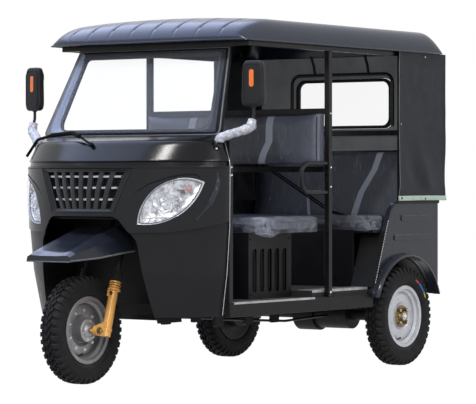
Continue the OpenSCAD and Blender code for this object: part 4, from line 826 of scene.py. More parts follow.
for side, word in ((1, "left"), (-1, "right")):
    out = Vector((side * SIN(LAMP_AZ), -COS(LAMP_AZ), 0))
    at = lambda u, w, off: Vector(lamp_pt(u, w, off, side))
    bowl = Shape().put(lamp_disc(BOWL, side, leaf(1.2)))
    # the clear border, then the dark line inside it
    bowl.put(lamp_disc(BORDER, side, leaf(1.0), False), 1)
    line = [at(mix(LAMP_MID[0], u, LINE_SHARE), mix(LAMP_MID[1], w, LINE_SHARE), 8) for u, w in leaf(1.0)]
    bowl.put(tube(line, 2.0, 6, True), 4)
    # faceted dishes, each with its bulb
    for u, w, r, m in DISHES:
        p = at(u, w, 24)
        dish = [(-4, r), (9, r), (11, r - 2), (9, r - 5), (1, r * 0.55), (-2, r * 0.3), (-3, 0.0)]
        bowl.put(turned(p, out, dish, 14))
        bulb = [(-2, r * 0.24), (8, r * 0.27), (13, r * 0.22), (17, r * 0.1), (17.5, 0)]
        bowl.put(turned(p, out, bulb, 16), m)
    # dark louvre beside the upper bulb
    for k in range(4):
        louvre = [at(30 + 5 * k, 66 - 5 * k, 17), at(66 + 2 * k, 64 - 6 * k, 17)]
        bowl.put(tube(louvre, lambda s: 1.2 + 1.6 * s, 6), 4)
    # a row of small lights along the lower edge
    for k in range(8):
        light = [(0, 6.2), (6, 5.6), (8, 3.4), (8.6, 0)]
        bowl.put(turned(at(-132 + 14.5 * k, -70 + 0.6 * k, 20), out, light, 10), 3)
    # broad folds across the reflector
    for u0, w0, u1, w1, r in FOLDS:
        a, b = at(u0, w0, 27), at(u1, w1, 27)
        bowl.put(tube([a, (a + b) / 2 + out * 3, b], r, 4), 0)
    bowl = bowl.make(f"headlamp_bowl_{word}", ["silver", "border", "bulb", "steel", "void"], deg=20)
    Shape().put(lamp_disc(LENS, side, leaf(0.8))).make(f"headlamp_lens_{word}", "lens", solid=False)
    if side == 1:
        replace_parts(bowl, "headlamps")

# grille: radius and centre of its curve
GRILLE_R, GRILLE_Y = 766.0, 746.0
IN_LOW, IN_HIGH, IN_Z = 170.0, 243.0, (857.0, 1040.0)


def on_grille(x, z, deep):
    return (x, GRILLE_Y - math.sqrt((GRILLE_R - 6 - deep) ** 2 - x * x), z)


def around(low_half, high_half, low_z, high_z, n=14):
    """Points round a trapezoid, wider at the top."""
    corners = [(-low_half, low_z), (low_half, low_z), (high_half, high_z), (-high_half, high_z)]
    corners.append(corners[0])
    sides = zip(corners, corners[1:])
    return [(mix(x0, x1, k / n), mix(z0, z1, k / n)) for (x0, z0), (x1, z1) in sides for k in range(n)]


# sloping frame round the opening, then the bars, kinked at mid-height
grille = Shape()
outer_edge, inner_edge = around(191, 279, 845, 1053), around(IN_LOW, IN_HIGH, *IN_Z)
frame_rings = [(outer_edge, 22), (outer_edge, 1), (inner_edge, 9), (inner_edge, 30)]
frame_points = [on_grille(x, z, deep) for edge, deep in frame_rings for x, z in edge]
grille.put((frame_points, ring_faces(len(frame_rings), len(outer_edge))), 3)
for edge, deep in ((outer_edge, 0.6), (inner_edge, 9.5)):
    grille.put(tube([on_grille(x, z, deep) for x, z in edge], 2.0, 8, True), 0)
for i in range(-3, 4):
    rings = []
    for k in range(13):
        t = k / 12
        x, deep = i / 4 * mix(IN_LOW, IN_HIGH, t), 3 + 16 * abs(t - 0.5)
        sec = ((-14, deep + 6), (-12.5, deep + 1), (-10, deep), (10, deep), (12.5, deep + 1), (14, deep + 6),
               (13, 29), (-13, 29))
        rings.append([on_grille(x + dx, mix(*IN_Z, t), d) for dx, d in sec])
    grille.put(lofted_ends(rings))
# ledges across the gaps in bright metal: their brightness is painted reflection of the sky on their tops
for i in range(-4, 4):
    for z in (904, 961, 1016):
        half = mix(IN_LOW, IN_HIGH, (z - IN_Z[0]) / (IN_Z[1] - IN_Z[0]))
        x0, x1 = i / 4 * half + 12, (i + 1) / 4 * half - 12
        sec = ((14, -5), (12, -2), (12, 3), (15, 6), (27, 6), (27, -5))
        rung = [[on_grille(mix(x0, x1, k / 4), z + dz, d) for d, dz in sec] for k in range(5)]
        grille.put(lofted_ends(rung), 1)
mesh_pt = lambda j, k: on_grille(mix(-1, 1, j / 24) * mix(192, 281, k / 6), mix(846, 1052, k / 6), 31)
grille.put(grid(mesh_pt, 25, 7), 2)
grille = grille.make("grille_bars", ["grille", "glint", "void", "gloss"], solid=False)
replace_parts(grille, "grille")

# windscreen frame and seal
LEAN = RAD(24.3)


def on_screen(x, s, d):
    return (x, 376 + s * SIN(LEAN) + d * COS(LEAN), 1222 + s * COS(LEAN) - d * SIN(LEAN))


def loop_of(quad, radii, n=8):
    """A closed outline with rounded corners and the same number of points for any quad."""
    out = []
    for i in range(4):
        a, b, c = Vector(quad[i - 1]), Vector(quad[i]), Vector(quad[(i + 1) % 4])
        u, w = (a - b).normalized(), (c - b).normalized()
        t = radii[i] / math.tan(u.angle(w) / 2)
        p, q = b + u * t, b + w * t
        half = (b - c).angle(Vector(quad[(i + 2) % 4]) - c) / 2
        e = c + (b - c).normalized() * (radii[(i + 1) % 4] / math.tan(half))
        out += bend(p, b, q, n)
        out += [q.lerp(e, k / 10) for k in range(1, 10)]
    return out


edge_out = loop_of([(-560, 0), (560, 0), (478, 480), (-478, 480)], (30, 30, 12, 12))
edge_in = loop_of([(-478, 34), (478, 34), (428, 446), (-428, 446)], (64, 64, 26, 26))
# section of the frame as (share from the outer to the inner edge, depth)
SECTION = ((0.0, 28), (0.0, 4), (0.05, 1), (0.16, -1.5), (0.4, -3.5), (0.62, -2.5), (0.78, 1.5), (0.9, 6),
           (1.0, 9), (1.0, 28))


def screen_ring(share, deep):
    return [on_screen(*o.lerp(i, share), deep) for o, i in zip(edge_out, edge_in)]


screen = Shape().put(lofted([screen_ring(share, deep) for share, deep in SECTION]))
# the right-hand pillar gets a lavender strip of painted sky reflection inside a grey strip of painted light
for j, corners in enumerate(screen.f):
    level = corners[0] // len(edge_out)
    if sum(screen.v[i][0] for i in corners) / len(corners) < -440 and 1 <= level <= 7:
        screen.m[j] = 2 if level < 4 else 3
screen.put(tube(screen_ring(0.965, 8.5), 5.2, 8, True), 1)
screen.put(tube(screen_ring(0.02, 3.0), 4.2, 8, True), 2)
screen = screen.make("screen_surround", ["screen", "rubber", "rimgrey", "glass_reflection_paint"])
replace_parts(screen, "windscreen_frame")

# roof: half width, height of its edge, rise, bow and rounding, then ends, runs of the slopes and thickness
ROOF_HALF, ROOF_Z, ROOF_RISE, ROOF_BOW, ROOF_ROUND = 625.0, 1690.0, 112.0, 22.0, 78.0
ROOF_FRONT, ROOF_REAR, FRONT_RUN, REAR_RUN, ROOF_THICK = 455.0, 2366.0, 300.0, 130.0, 11.0
GROOVE_DEEP, GROOVE_HALF = 7.0, 13
pitch = (2 * ROOF_HALF - 2 * ROOF_ROUND) / 8
grooves = [(i - 3.5) * pitch for i in range(8)]


def run(d, r):
    return 1.0 if d >= r else math.sqrt(max(0.0, 1 - (1 - d / r) ** 2))


def groove(x):
    d = min(abs(x - g) for g in grooves)
    return GROOVE_DEEP * 0.5 * (1 + COS(math.pi * d / GROOVE_HALF)) if d < GROOVE_HALF else 0.0


def roof_front(x):
    return ROOF_FRONT + 60 * (abs(x) / ROOF_HALF) ** 4


def roof_pt(x, v, drop, sunk):
    """A point of the roof; v is (0, from the front), (1, share between the slopes) or (2, from the rear)."""
    y0 = roof_front(x)
    kind, d = v
    if kind == 0:
        y, slope = y0 + d, run(d, FRONT_RUN)
    elif kind == 1:
        y, slope = mix(y0 + FRONT_RUN, ROOF_REAR - REAR_RUN, d), 1
    else:
        y, slope = ROOF_REAR - d, run(d, REAR_RUN)
    e = run(ROOF_HALF - abs(x), ROOF_ROUND) * slope
    rise = ROOF_RISE - drop + ROOF_BOW * (1 - (x / ROOF_HALF) ** 2) - (groove(x) if sunk else 0)
    return (x, y, ROOF_Z + e * rise)


def roof_in(x, v):
    x, y, z = roof_pt(x, v, ROOF_THICK, False)
    share = (y - ROOF_FRONT) / (ROOF_REAR - ROOF_FRONT)
    y = mix(ROOF_FRONT + ROOF_THICK, ROOF_REAR - ROOF_THICK, share)
    return (x * (ROOF_HALF - ROOF_THICK) / ROOF_HALF, y, z)


side_turns = (0, 6, 12, 18, 26, 34, 42, 51, 60, 70, 80, 90)
side_xs = [ROOF_HALF - ROOF_ROUND * (1 - COS(RAD(p))) for p in side_turns]
groove_steps = (3, 5.5, 8, 10.5, 13, 26)
mid_xs = sorted(g + k for g in grooves for k in (-pitch / 2, 0, *groove_steps, *(-s for s in groove_steps)))
roof_xs = [-x for x in side_xs] + [x for x in mid_xs if abs(x) < ROOF_HALF - ROOF_ROUND - 2] + side_xs[::-1]
roof_vs = [(0, d) for d in (0, 2, 6, 12, 22, 34, 50, 70, 90, 115, 140, 175, 210, 255)]
roof_vs += [(1, f) for f in spread(0, 1, 13)] + [(2, d) for d in (105, 85, 70, 50, 30, 18, 8, 3, 0)]
roof_rows = [[roof_pt(x, v, 0, True) for x in roof_xs] for v in roof_vs]
roof = Shape().put(thick(roof_rows, [[roof_in(x, v) for x in roof_xs] for v in roof_vs]))
# rolled lip round the lower edge
LIP_Z, SIDE_FRONT, LIP_REAR = ROOF_Z + 3, 560, ROOF_REAR - 30
lip = [(x, roof_front(x) + 4, LIP_Z) for x in spread(-ROOF_HALF, ROOF_HALF, 41)]
lip += [(ROOF_HALF - 2, y, LIP_Z) for y in spread(SIDE_FRONT, LIP_REAR, 14)]
lip += [(x, ROOF_REAR - 4, LIP_Z) for x in spread(ROOF_HALF - 16, -ROOF_HALF + 16, 14)]
lip += [(-ROOF_HALF + 2, y, LIP_Z) for y in spread(LIP_REAR, SIDE_FRONT, 14)]
roof.put(tube(lip, 4.5, 8, True))
for g in grooves:
    roof.put(tube([Vector(roof_pt(g, v, 0, True)) - Vector((0, 0, 0.6)) for v in roof_vs[6:-4]], 2.4, 6), 1)
roof = roof.make("roof_moulding", ["roof", "rubber"], deg=50)
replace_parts(roof, "roof_shell")


# mirrors
def blob(c, half, turn, e1=0.42, e2=0.34, m=25, n=64):
    """A soft-cornered box; turn is about Z, degrees."""
    pw = lambda x, e: math.copysign(abs(x) ** e, x)

    def at(i, j):
        th, ph = RAD(mix(-89.9, 89.9, i / (m - 1))), 2 * math.pi * j / n
        x = half[0] * pw(COS(th), e1) * pw(COS(ph), e2)
        y = half[1] * pw(SIN(th), e1)
        z = half[2] * pw(COS(th), e1) * pw(SIN(ph), e2)
        x *= 1 - 0.06 * z / half[2]
        return (c[0] + x * COS(turn) - y * SIN(turn), c[1] + x * SIN(turn) + y * COS(turn), c[2] + z)

    v, f = grid(at, m, n, close_v=True)
    return v, f + [tuple(range(n)), tuple(range((m - 1) * n, m * n))]


def cowl_facet(a0, a1, z0, z1):
    p, q, s, t = (Vector(nose_pt(a, z, 0)) for a, z in ((a0, z0), (a1, z0), (a0, z1), (a1, z1)))
    nrm = (q - p).cross(s - p).normalized()
    return (p + q + s + t) / 4 + nrm * 0.6, nrm


foot, fn = cowl_facet(90 * 12 / 14, 90 * 13 / 14, mix(1078, 1190, 0.55), 1190)
head = Vector((700, 472, 1471))
low = head - Vector((0, 0, 97))
middle = Vector((mix(foot.x, low.x, 0.98), mix(foot.y, low.y, 0.8), mix(foot.z, low.z, 0.42)))
arm = [foot + fn * 9, foot + fn * 18 + Vector((0, 0, 36)), middle, low - Vector((0, 0, 54)), low]
WRAP_R, WRAP_SIDES = 23, 28
for side, word in ((1, "left"), (-1, "right")):
    flip = lambda p: (side * p[0], p[1], p[2])
    s = Shape()
    s.put(blob(flip(head), (59, 22, 113), side * RAD(12)))
    turn = Matrix.Rotation(side * RAD(12), 3, "Z")
    # moulded rib down the back shell and the reflector on it
    face = lambda x, y, z: tuple(Vector(flip(head)) + turn @ Vector((x, y, z)))
    s.put(prism(soft_rect(24, 84, 10), lambda u, v, t: face(u - side * 4, t, v + 26), -24.2, -19), 1)
    s.put(prism(soft_rect(98, 196, 30), lambda u, v, t: face(u, t, v), 17, 22.6), 2)
    ridge = [face(p[0], -21.4, p[1]) for p in soft_rect(96, 190, 30)]
    s.put(tube(ridge, 1.6, 6, True))
    path_pts = rounded([flip(p) for p in arm], 26, 6)
    s.put(tube(path_pts, 7.5, 12))
    s.put(turned(flip(foot), (side * fn.x, fn.y, fn.z), [(0, 24), (5, 24), (6, 19), (20, 17), (22, 14)], 24))
    s.put(turned(flip(low - Vector((0, 0, 20))), (0, 0, 1), [(0, 10), (4, 14), (18, 15), (24, 13)], 20))
    for dz in (-14, 16):
        p = foot + Vector((0, -16, dz)) + fn * 6
        s.put(hexbolt(flip(p), (side * fn.x, fn.y, fn.z), 3.8, 5), 3)
    ob = s.make(f"mirror_{word}_dressed", ["plastic", "amber", "mirror", "steel"], deg=40)
    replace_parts(ob, f"mirror_{word}")
    # the arm is still in its wrapping
    fine = rounded([flip(p) for p in arm[:4]], 30, 10)
    pts = []
    for a, b in zip(fine, fine[1:]):
        k = max(1, int((b - a).length / 4))
        pts += [a.lerp(b, i / k) for i in range(k)]
    pts = pts[5:-6]
    v, f = tube(pts, WRAP_R, WRAP_SIDES)
    puffed = []
    for i, p in enumerate(v):
        c = pts[i // WRAP_SIDES]
        puff = 1 + 0.16 * noise.noise(Vector(p) * 0.045) + 0.09 * noise.noise(Vector(p) * 0.16)
        puffed.append(c + (Vector(p) - c) * (puff + 0.05 * SIN(i // WRAP_SIDES * 0.55)))
    Shape().put((puffed, f)).make(f"mirror_{word}_wrapping", "wrap", deg=60)

# tyres and wheels: half of the tyre's section as (across, radius)
TYRE = [(36, 167), (42, 172), (47, 181), (48.6, 184), (49.5, 187), (52.5, 200), (53.6, 212), (53.2, 222),
        (52.4, 228), (53.0, 229.5), (52.6, 232), (50.5, 236), (47.5, 244), (43, 250), (34, 253), (18, 254.5),
        (0, 255)]
# sections of the shoulder lugs, the middle blocks and the side nibs
SHOULDER = ((24, 250), (24, 264.6), (40, 263), (47, 257.5), (52, 246), (53.4, 236), (48, 232))
BLOCK = ((3, 251), (3, 265), (19, 264.8), (19, 250))
NIB = ((50.2, 232), (54, 231), (53.6, 225), (50, 224))
LUGS, TYRE_SIDES = 42, 120
FRONT_HUB, REAR_LEFT_HUB, REAR_RIGHT_HUB = (0, 0, 265), (567, 2000, 265), (-567, 2000, 265)


def tyre(name, c, body, node):
    prof = TYRE + [(-x, r) for x, r in TYRE[-2::-1]] + [(-30, 157), (30, 157)]
    at = lambda x, r, a: (c[0] + x, c[1] + r * COS(a), c[2] + r * SIN(a))
    hoop = lambda i, j: at(*prof[j], 2 * math.pi * i / TYRE_SIDES)
    s = Shape().put(grid(hoop, TYRE_SIDES, len(prof), True, True))
    step = 2 * math.pi / LUGS

    def lug(sec, sx, a0, a1, skew, top):
        v = []
        for a, inset in ((a0, 1), (a1, -1)):
            v += [at(sx * x, r, a + skew * sx * x + inset * top * (1 if r > 254 else 0)) for x, r in sec]
        return v, prism_faces(len(sec))

    for i in range(LUGS):
        for sx in (-1, 1):
            a = i * step + (step / 2 if sx > 0 else 0)
            s.put(lug(SHOULDER, sx, a - step * 0.3, a + step * 0.3, sx * 0.0009, 0.006))
            s.put(lug(BLOCK, sx, a - step * 0.34, a + step * 0.2, -sx * 0.0045, 0.006))
            s.put(lug(NIB, sx, a + step * 0.28, a + step * 0.44, 0, 0))
    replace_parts(s.make(name, ["tyre"], body, deg=28), node)


tyre("front_tyre_tread", FRONT_HUB, "front_wheel", "front_tyre")
tyre("rear_left_tread", REAR_LEFT_HUB, "rear_wheel_left", "rear_tyre_left")
tyre("rear_right_tread", REAR_RIGHT_HUB, "rear_wheel_right", "rear_tyre_right")


def wheel_parts(c, side, body, word, front=False):
    at = lambda x, r, a: (c[0] + side * x, c[1] + r * COS(a), c[2] + r * SIN(a))
    s = Shape()
    d = (side, 0, 0)
    if front:
        drum = [(0, 56), (5, 56), (8, 52), (8, 34), (12, 30), (20, 26), (22, 20)]
        s.put(turned(at(38, 0, 0), d, drum, 40), 0)
        for k in range(6):
            a = RAD(60 * k + 15)
            s.put(hexbolt(at(43.5, 45, a), d, 6.5, 7), 1)
        for k in range(9):
            a = RAD(40 * k)
            s.put(hexbolt(at(4.5, 98, a), d, 6, 6), 1)
        s.put(turned(at(-56, 0, 0), (-side, 0, 0), [(0, 68), (4, 68), (7, 62), (7, 40), (10, 36)], 40), 0)
    else:
        drum = [(0, 60), (3, 60), (5, 56), (5, 33), (10, 30), (20, 27), (22, 22), (22, 0)]
        s.put(turned(at(18.5, 0, 0), d, drum, 40), 2)
        for k in range(4):
            a = RAD(90 * k + 45)
            s.put(hexbolt(at(23, 46, a), d, 10, 13), 2)
            s.put(turned(at(30, 46, a), d, [(0, 5), (9, 5), (10, 4)], 12), 1)
        s.put(hexbolt(at(38, 0, 0), d, 13, 10), 1)
        shield = ((-34, 150), (-40, 167), (-45, 167), (-45, 150), (-40, 140), (-40, 66), (-34, 66))
        s.put(lofted([[at(x, r, 2 * math.pi * k / 48) for k in range(48)] for x, r in shield]), 5)
        for k in range(8):
            a = RAD(45 * k + 20)
            s.put(turned(at(20.6, 98, a), d, [(0, 7), (1.6, 7), (2.4, 5.5)], 14), 4)
    # valve
    a = RAD(250)
    s.put(tube([at(6, 136, a), at(22, 130, a), at(34, 124, a)], 3.6, 10), 3)
    stem = Vector(at(34, 124, a)) - Vector(at(22, 130, a))
    s.put(turned(at(33, 124.4, a), stem, [(0, 4.4), (9, 4.4), (10, 3.4)], 12), 3)
    # rolled edge of the flange
    s.put(tube([at(41, 163.4, 2 * math.pi * k / 72) for k in range(72)], 3.2, 8, True), 4)
    slots = ["drum", "steel", "zinc", "rubber", "dull" if front else "rim", "chassis"]
    s.make(f"{word}_hub_parts", slots, body, deg=30)


def round_rear(x, r, a):
    """A point about the rear axle, at radius r and angle a."""
    return (x, REAR_LEFT_HUB[1] + r * COS(a), REAR_LEFT_HUB[2] + r * SIN(a))


wheel_parts(FRONT_HUB, 1, "front_wheel", "front", True)
wheel_parts(REAR_LEFT_HUB, 1, "rear_wheel_left", "rear_left")
wheel_parts(REAR_RIGHT_HUB, -1, "rear_wheel_right", "rear_right")
# three colour marks on the near rear tyre
for key, a0, a1 in (("mark_red", 64, 54), ("mark_blue", 53, 36), ("mark_yellow", 35, 26)):
    strip = lambda x: [[round_rear(x, r, RAD(a)) for r in (209, 219)] for a in spread(a0, a1, 9)]
    patch = thick(strip(REAR_LEFT_HUB[0] + 54.2), strip(REAR_LEFT_HUB[0] + 52.0))
    Shape().put(patch).make(f"tyre_{key}", key, "rear_wheel_left")


# seats: padded covers, blown up as cloth inside the room that their solids hold
COVER_COLOURS = ((0.042, 0.047, 0.058), (0.064, 0.07, 0.085))
# colours of the film's milkiness with painted sheen, of its painted glints and of the stripes
MILK_AND_SHEEN, GLINT, STRIPE = (0.15, 0.16, 0.195), (0.3, 0.31, 0.36), (0.42, 0.45, 0.5)


def seat_finish(name, stripes, film, lean, painted_shade_share=1.0):
    """Leatherette under film; stripes are (kinks as (x, z), width, top), film is (x, z, slope) of its
    milkiness and painted sheen; the last argument darkens the whole cover, a painted shade.
    """
    # a share below one makes a darker copy of the cover: painted shade
    dark, light = ([c * painted_shade_share for c in colour] for colour in COVER_COLOURS)
    m = finish(name, dark, light, 0.34, 9, 0.1, "cells", 420, 0.0006, coat=0.35, coat_rough=0.14, spec=0.25)
    nt = m.node_tree
    b = nt.nodes["Principled BSDF"]
    colour = b.inputs["Base Color"].links[0].from_socket
    tc = nt.nodes.new("ShaderNodeTexCoord")
    sep = nt.nodes.new("ShaderNodeSeparateXYZ")
    link(nt, tc.outputs["Object"], sep.inputs[0])
    x, z = sep.outputs["X"], sep.outputs["Z"]
    # milkiness of the film and painted sheen on it: streaks that run down and across, denser on one side of a
    # slanted line
    streak = noise_at(nt, coords(nt, (34, 34, 7), (0, lean, 0)), 1.0, 6.0, 0.62, 0.5)
    fine = noise_at(nt, coords(nt, (48, 48, 9), (0, lean, 0)), 1.0, 5.0, 0.6, 1.4)
    if film:
        fx, fz, slope = film
        above = calc(nt, "MULTIPLY", calc(nt, "SUBTRACT", z, fz), slope)
        side = calc(nt, "ADD", calc(nt, "SUBTRACT", x, fx), above)
        dense = span(nt, streak, 0.2, 0.62, 0.55, 1.0)
        milk_and_sheen = calc(nt, "MULTIPLY", span(nt, side, -0.03, 0.03, 0.12, 1.0), dense)
    else:
        milk_and_sheen = span(nt, streak, 0.45, 0.75, 0.0, 0.25)
    colour = tint(nt, calc(nt, "MULTIPLY", milk_and_sheen, 0.85), colour, MILK_AND_SHEEN)
    # painted highlights: fine glints along the streaks
    shine = calc(nt, "MULTIPLY", span(nt, fine, 0.54, 0.7, 0.0, 1.0), span(nt, streak, 0.38, 0.6, 0.0, 1.0))
    colour = tint(nt, calc(nt, "MULTIPLY", shine, 0.5), colour, GLINT)
    for kinks, width, top in stripes:
        centre = None
        for (x0, z0), (x1, z1) in zip(kinks, kinks[1:]):
            part = span(nt, z, z1, z0, x1 - x0, 0.0)
            centre = calc(nt, "ADD", part, x0) if centre is None else calc(nt, "ADD", centre, part)
        off = calc(nt, "ABSOLUTE", calc(nt, "SUBTRACT", x, centre), 0)
        band = span(nt, off, width / 2 - 0.0012, width / 2 + 0.0012, 1.0, 0.0)
        band = calc(nt, "MULTIPLY", band, span(nt, z, top - 0.004, top + 0.004, 1.0, 0.0))
        colour = tint(nt, band, colour, STRIPE)
    link(nt, colour, b.inputs["Base Color"])
    # the film's creases, over the grain of the cover
    bump = nt.nodes.new("ShaderNodeBump")
    bump.inputs["Distance"].default_value = 0.006
    bump.inputs["Strength"].default_value = 0.5
    link(nt, calc(nt, "ADD", streak, calc(nt, "MULTIPLY", fine, 0.3)), bump.inputs["Height"])
    link(nt, b.inputs["Normal"].links[0].from_socket, bump.inputs["Normal"])
    link(nt, bump.outputs["Normal"], b.inputs["Normal"])
    link(nt, bump.outputs["Normal"], b.inputs["Coat Normal"])
    return m


# the covers' cloth, then the gap to the sides of its room and the rise over the top, in metres
CLOTH_FRAMES, CLOTH_CAP, CLOTH_VOXEL, CLOTH_PRESSURE = 20, 0.014, 0.012, 4.0
ROOM_GAP, ROOM_OVER = 0.0004, 0.005


def swell(name, node, key, inset):
    """A stuffed cover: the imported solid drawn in, blown up as cloth, and kept in the room of the solid."""
    lo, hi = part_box(node)
    mid, half = (lo + hi) / 2, (hi - lo) / 2
    ob = bpy.data.objects.new(name, nodes[node].data.copy())
    scene.collection.objects.link(ob)
    for v in ob.data.vertices:
        v.co = [mid[a] + (v.co[a] - mid[a]) * (1 - inset[a] * 0.001 / half[a]) for a in range(3)]
    rm = ob.modifiers.new("remesh", "REMESH")
    rm.mode, rm.voxel_size = "VOXEL", CLOTH_VOXEL
    settle(ob)
    rest = [v.co.copy() for v in ob.data.vertices]
    cloth = ob.modifiers.new("cloth", "CLOTH")
    cloth.settings.quality = 4
    cloth.settings.use_pressure = True
    cloth.settings.uniform_pressure_force = CLOTH_PRESSURE
    cloth.settings.effector_weights.gravity = 0.0
    cloth.point_cache.frame_end = CLOTH_FRAMES
    for k in range(CLOTH_FRAMES):
        scene.frame_set(k + 1)
    settle(ob)
    scene.frame_set(1)
    for v, p in zip(ob.data.vertices, rest):
        move = v.co - p
        if move.length > CLOTH_CAP:
            move *= CLOTH_CAP / move.length
        v.co = p + move
    for a, over in ((0, -ROOM_GAP), (1, -ROOM_GAP), (2, ROOM_OVER)):
        now = [v.co[a] for v in ob.data.vertices]
        low, high = min(now), max(now)
        for v in ob.data.vertices:
            v.co[a] = mix(lo[a] + ROOM_GAP, hi[a] + over, (v.co[a] - low) / (high - low))
    ob.data.materials.clear()
    ob.data.materials.append(FINISHES[key])
    shade(ob.data, 180)
    sub = ob.modifiers.new("soft", "SUBSURF")
    sub.levels = sub.render_levels = 1
    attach(ob, "body")
    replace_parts(ob, node)
    return ob


BACK_STRIPES = [([(0.258, 1.34), (0.256, 1.2), (0.178, 1.06)], 0.044, 2.0),
                ([(-0.247, 1.34), (-0.249, 1.2), (-0.327, 1.06)], 0.044, 2.0)]
BENCH_STRIPES = [([(0.285, 1.18), (0.26, 1.06), (0.18, 0.93), (0.13, 0.78)], 0.04, 2.0),
                 ([(-0.175, 1.18), (-0.175, 0.9), (-0.16, 0.78)], 0.019, 0.905)]
FINISHES["back"] = seat_finish("driver_back_cover", BACK_STRIPES, (0.3, 1.2, 0.6), RAD(28))
FINISHES["bench"] = seat_finish("bench_back_cover", BENCH_STRIPES, (0.33, 0.95, -0.55), RAD(-24))
# the cushions' cover is a darker copy, painted shade, as their tops face the light
FINISHES["cushion"] = seat_finish("cushion_cover", [], None, RAD(15), 0.5)
swell("driver_cushion_cover", "driver_cushion", "cushion", (8, 9, 9))
driver_back = swell("driver_back_cover", "driver_backrest", "back", (8, 10, 2))
swell("bench_cushion_cover", "bench_cushion", "cushion", (8, 9, 9))
bench_back = swell("bench_back_cover", "bench_backrest", "bench", (8, 10, 8))


# rear window, rear wall and side curtains
WALL_Y, WIN_Z, WIN_W, WIN_H, WIN_R = 2330.0, 1426.0, 640.0, 280.0, 60.0


def window_ring(gap, y):
    return [(u, y, WIN_Z + v) for u, v in soft_rect(WIN_W - 2 * gap, WIN_H - 2 * gap, WIN_R - gap, 10)]


seal = ((0.5, -14), (0.5, 10), (3, 12.5), (9, 13), (15, 12), (18, 8), (18, -12), (15, -16), (9, -18),
        (3, -17.5))
rim = Shape().put(lofted([window_ring(g, WALL_Y + d) for g, d in seal]))
rim = rim.make("rear_window_seal", "rubber", deg=50)
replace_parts(rim, "rear_window")
pane = soft_rect(WIN_W - 34, WIN_H - 34, WIN_R - 17, 10)
pane = prism(pane, lambda u, v, t: (u, t, WIN_Z + v), WALL_Y + 1, WALL_Y + 5)
Shape().put(pane).make("rear_window_pane", "pane")

wall = [(-588, 1167.3), (588, 1167.3), (588, 1689.7), (-588, 1689.7)]
hole = [(-320.5, 1285.5), (320.5, 1285.5), (320.5, 1566.5), (-320.5, 1566.5)]
wall_out, wall_in = loop_of(wall, (4, 4, 4, 4), 10), loop_of(hole, (60, 60, 60, 60), 10)


def wall_at(f, k, back):
    p = wall_out[k].lerp(wall_in[k], f)
    slack = SIN(math.pi * f) ** 0.7
    broad = noise.noise(Vector((p.x, p.y, 0)) * 0.011)
    fine = noise.noise(Vector((p.x * 0.03, p.y * 0.008, 3)))
    return (p.x, WALL_Y + 4.2 + slack * (1.6 * broad + 0.9 * fine) + back, p.y)


def wall_loop(share, back):
    return [wall_at(share, k, back) for k in range(len(wall_out))]


wall_shares = spread(0, 1, 15)
loops = [wall_loop(f, -1.2) for f in wall_shares] + [wall_loop(f, 1.2) for f in wall_shares[::-1]]
canvas = Shape().put(lofted(loops)).make("rear_canvas_sheet", "grey", deg=60)
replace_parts(canvas, "rear_canvas")

CUR_Y, CUR_Z = (1930.0, 2405.0), (889.0, 1689.0)
# studs on the curtains as (y, z, radius, finish)
STUDS = ((1950, 902, 7, 3), (2190, 898, 6, 3), (2390, 900, 4, 4), (2190, 1668, 4.5, 4), (1944, 1300, 3.5, 4),
         (1944, 1560, 3, 3))
for side, word in ((1, "left"), (-1, "right")):

    def curtain_x(y, z):
        low = smooth(1330, 960, z) * smooth(906, 985, z)
        p = (y - 1930) * 0.9 + (z - 900) * 0.42
        fold = low * (6.4 * SIN(p / 41) + 3.0 * SIN(p / 23 + 1.3))
        broad = noise.noise(Vector((y * 0.006, z * 0.0035, side)))
        soft = 2.2 * broad + 0.8 * noise.noise(Vector((y * 0.02, z * 0.012, 5 + side)))
        edge = 1.4 * smooth(1956, 1950, y) + 1.4 * smooth(2382, 2388, y)
        return 615.5 + (fold + soft) * smooth(1690, 1600, z) + edge

    ys, zs = spread(*CUR_Y, 60), spread(*CUR_Z, 90)
    cloth_face = [[(side * (curtain_x(y, z) + 1.2), y, z) for z in zs] for y in ys]
    cloth_back = [[(side * (curtain_x(y, z) - 1.2), y, z) for z in zs] for y in ys]
    curtain = Shape().put(thick(cloth_face, cloth_back)).make(f"curtain_{word}", "canvas", deg=60)
    trim = Shape()
    trim.put(tube([(side * (curtain_x(CUR_Y[0], z) + 0.6), CUR_Y[0] + 2, z) for z in zs[2:]], 2.6, 8), 1)
    trim.put(tube([(side * (curtain_x(CUR_Y[1], z) + 0.3), CUR_Y[1] - 2, z) for z in zs[2:]], 2.2, 8), 2)
    flap_ys, flap_zs = spread(CUR_Y[0], 2352, 20), spread(872, 896, 4)
    flap = [[[(side * x, y, z) for z in flap_zs] for y in flap_ys] for x in (611, 609)]
    trim.put(thick(*flap), 2)
    batten = soft_rect(26, 7.5, 2.4, 4)
    sway = lambda y: 900.6 + 1.2 * SIN((y - 1930) / 150)
    batten_ys = spread(CUR_Y[0] - 3, CUR_Y[1] + 3, 24)
    trim.put(lofted_ends([[(side * (619.2 + b), y, sway(y) + a) for a, b in batten] for y in batten_ys]))
    for y, z, r, m in STUDS:
        stud = [(-4, r * 0.8), (0, r), (1.4, r), (2.4, r * 0.6), (2.6, 0)]
        trim.put(turned((side * (620 if z > 1000 else 622.6), y, z), (side, 0, 0), stud, 16), m)
    trim = trim.make(f"curtain_trim_{word}", ["green", "rimgrey", "canvas", "rubber", "steel"], deg=40)
    if side == 1:
        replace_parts(curtain, "curtains")

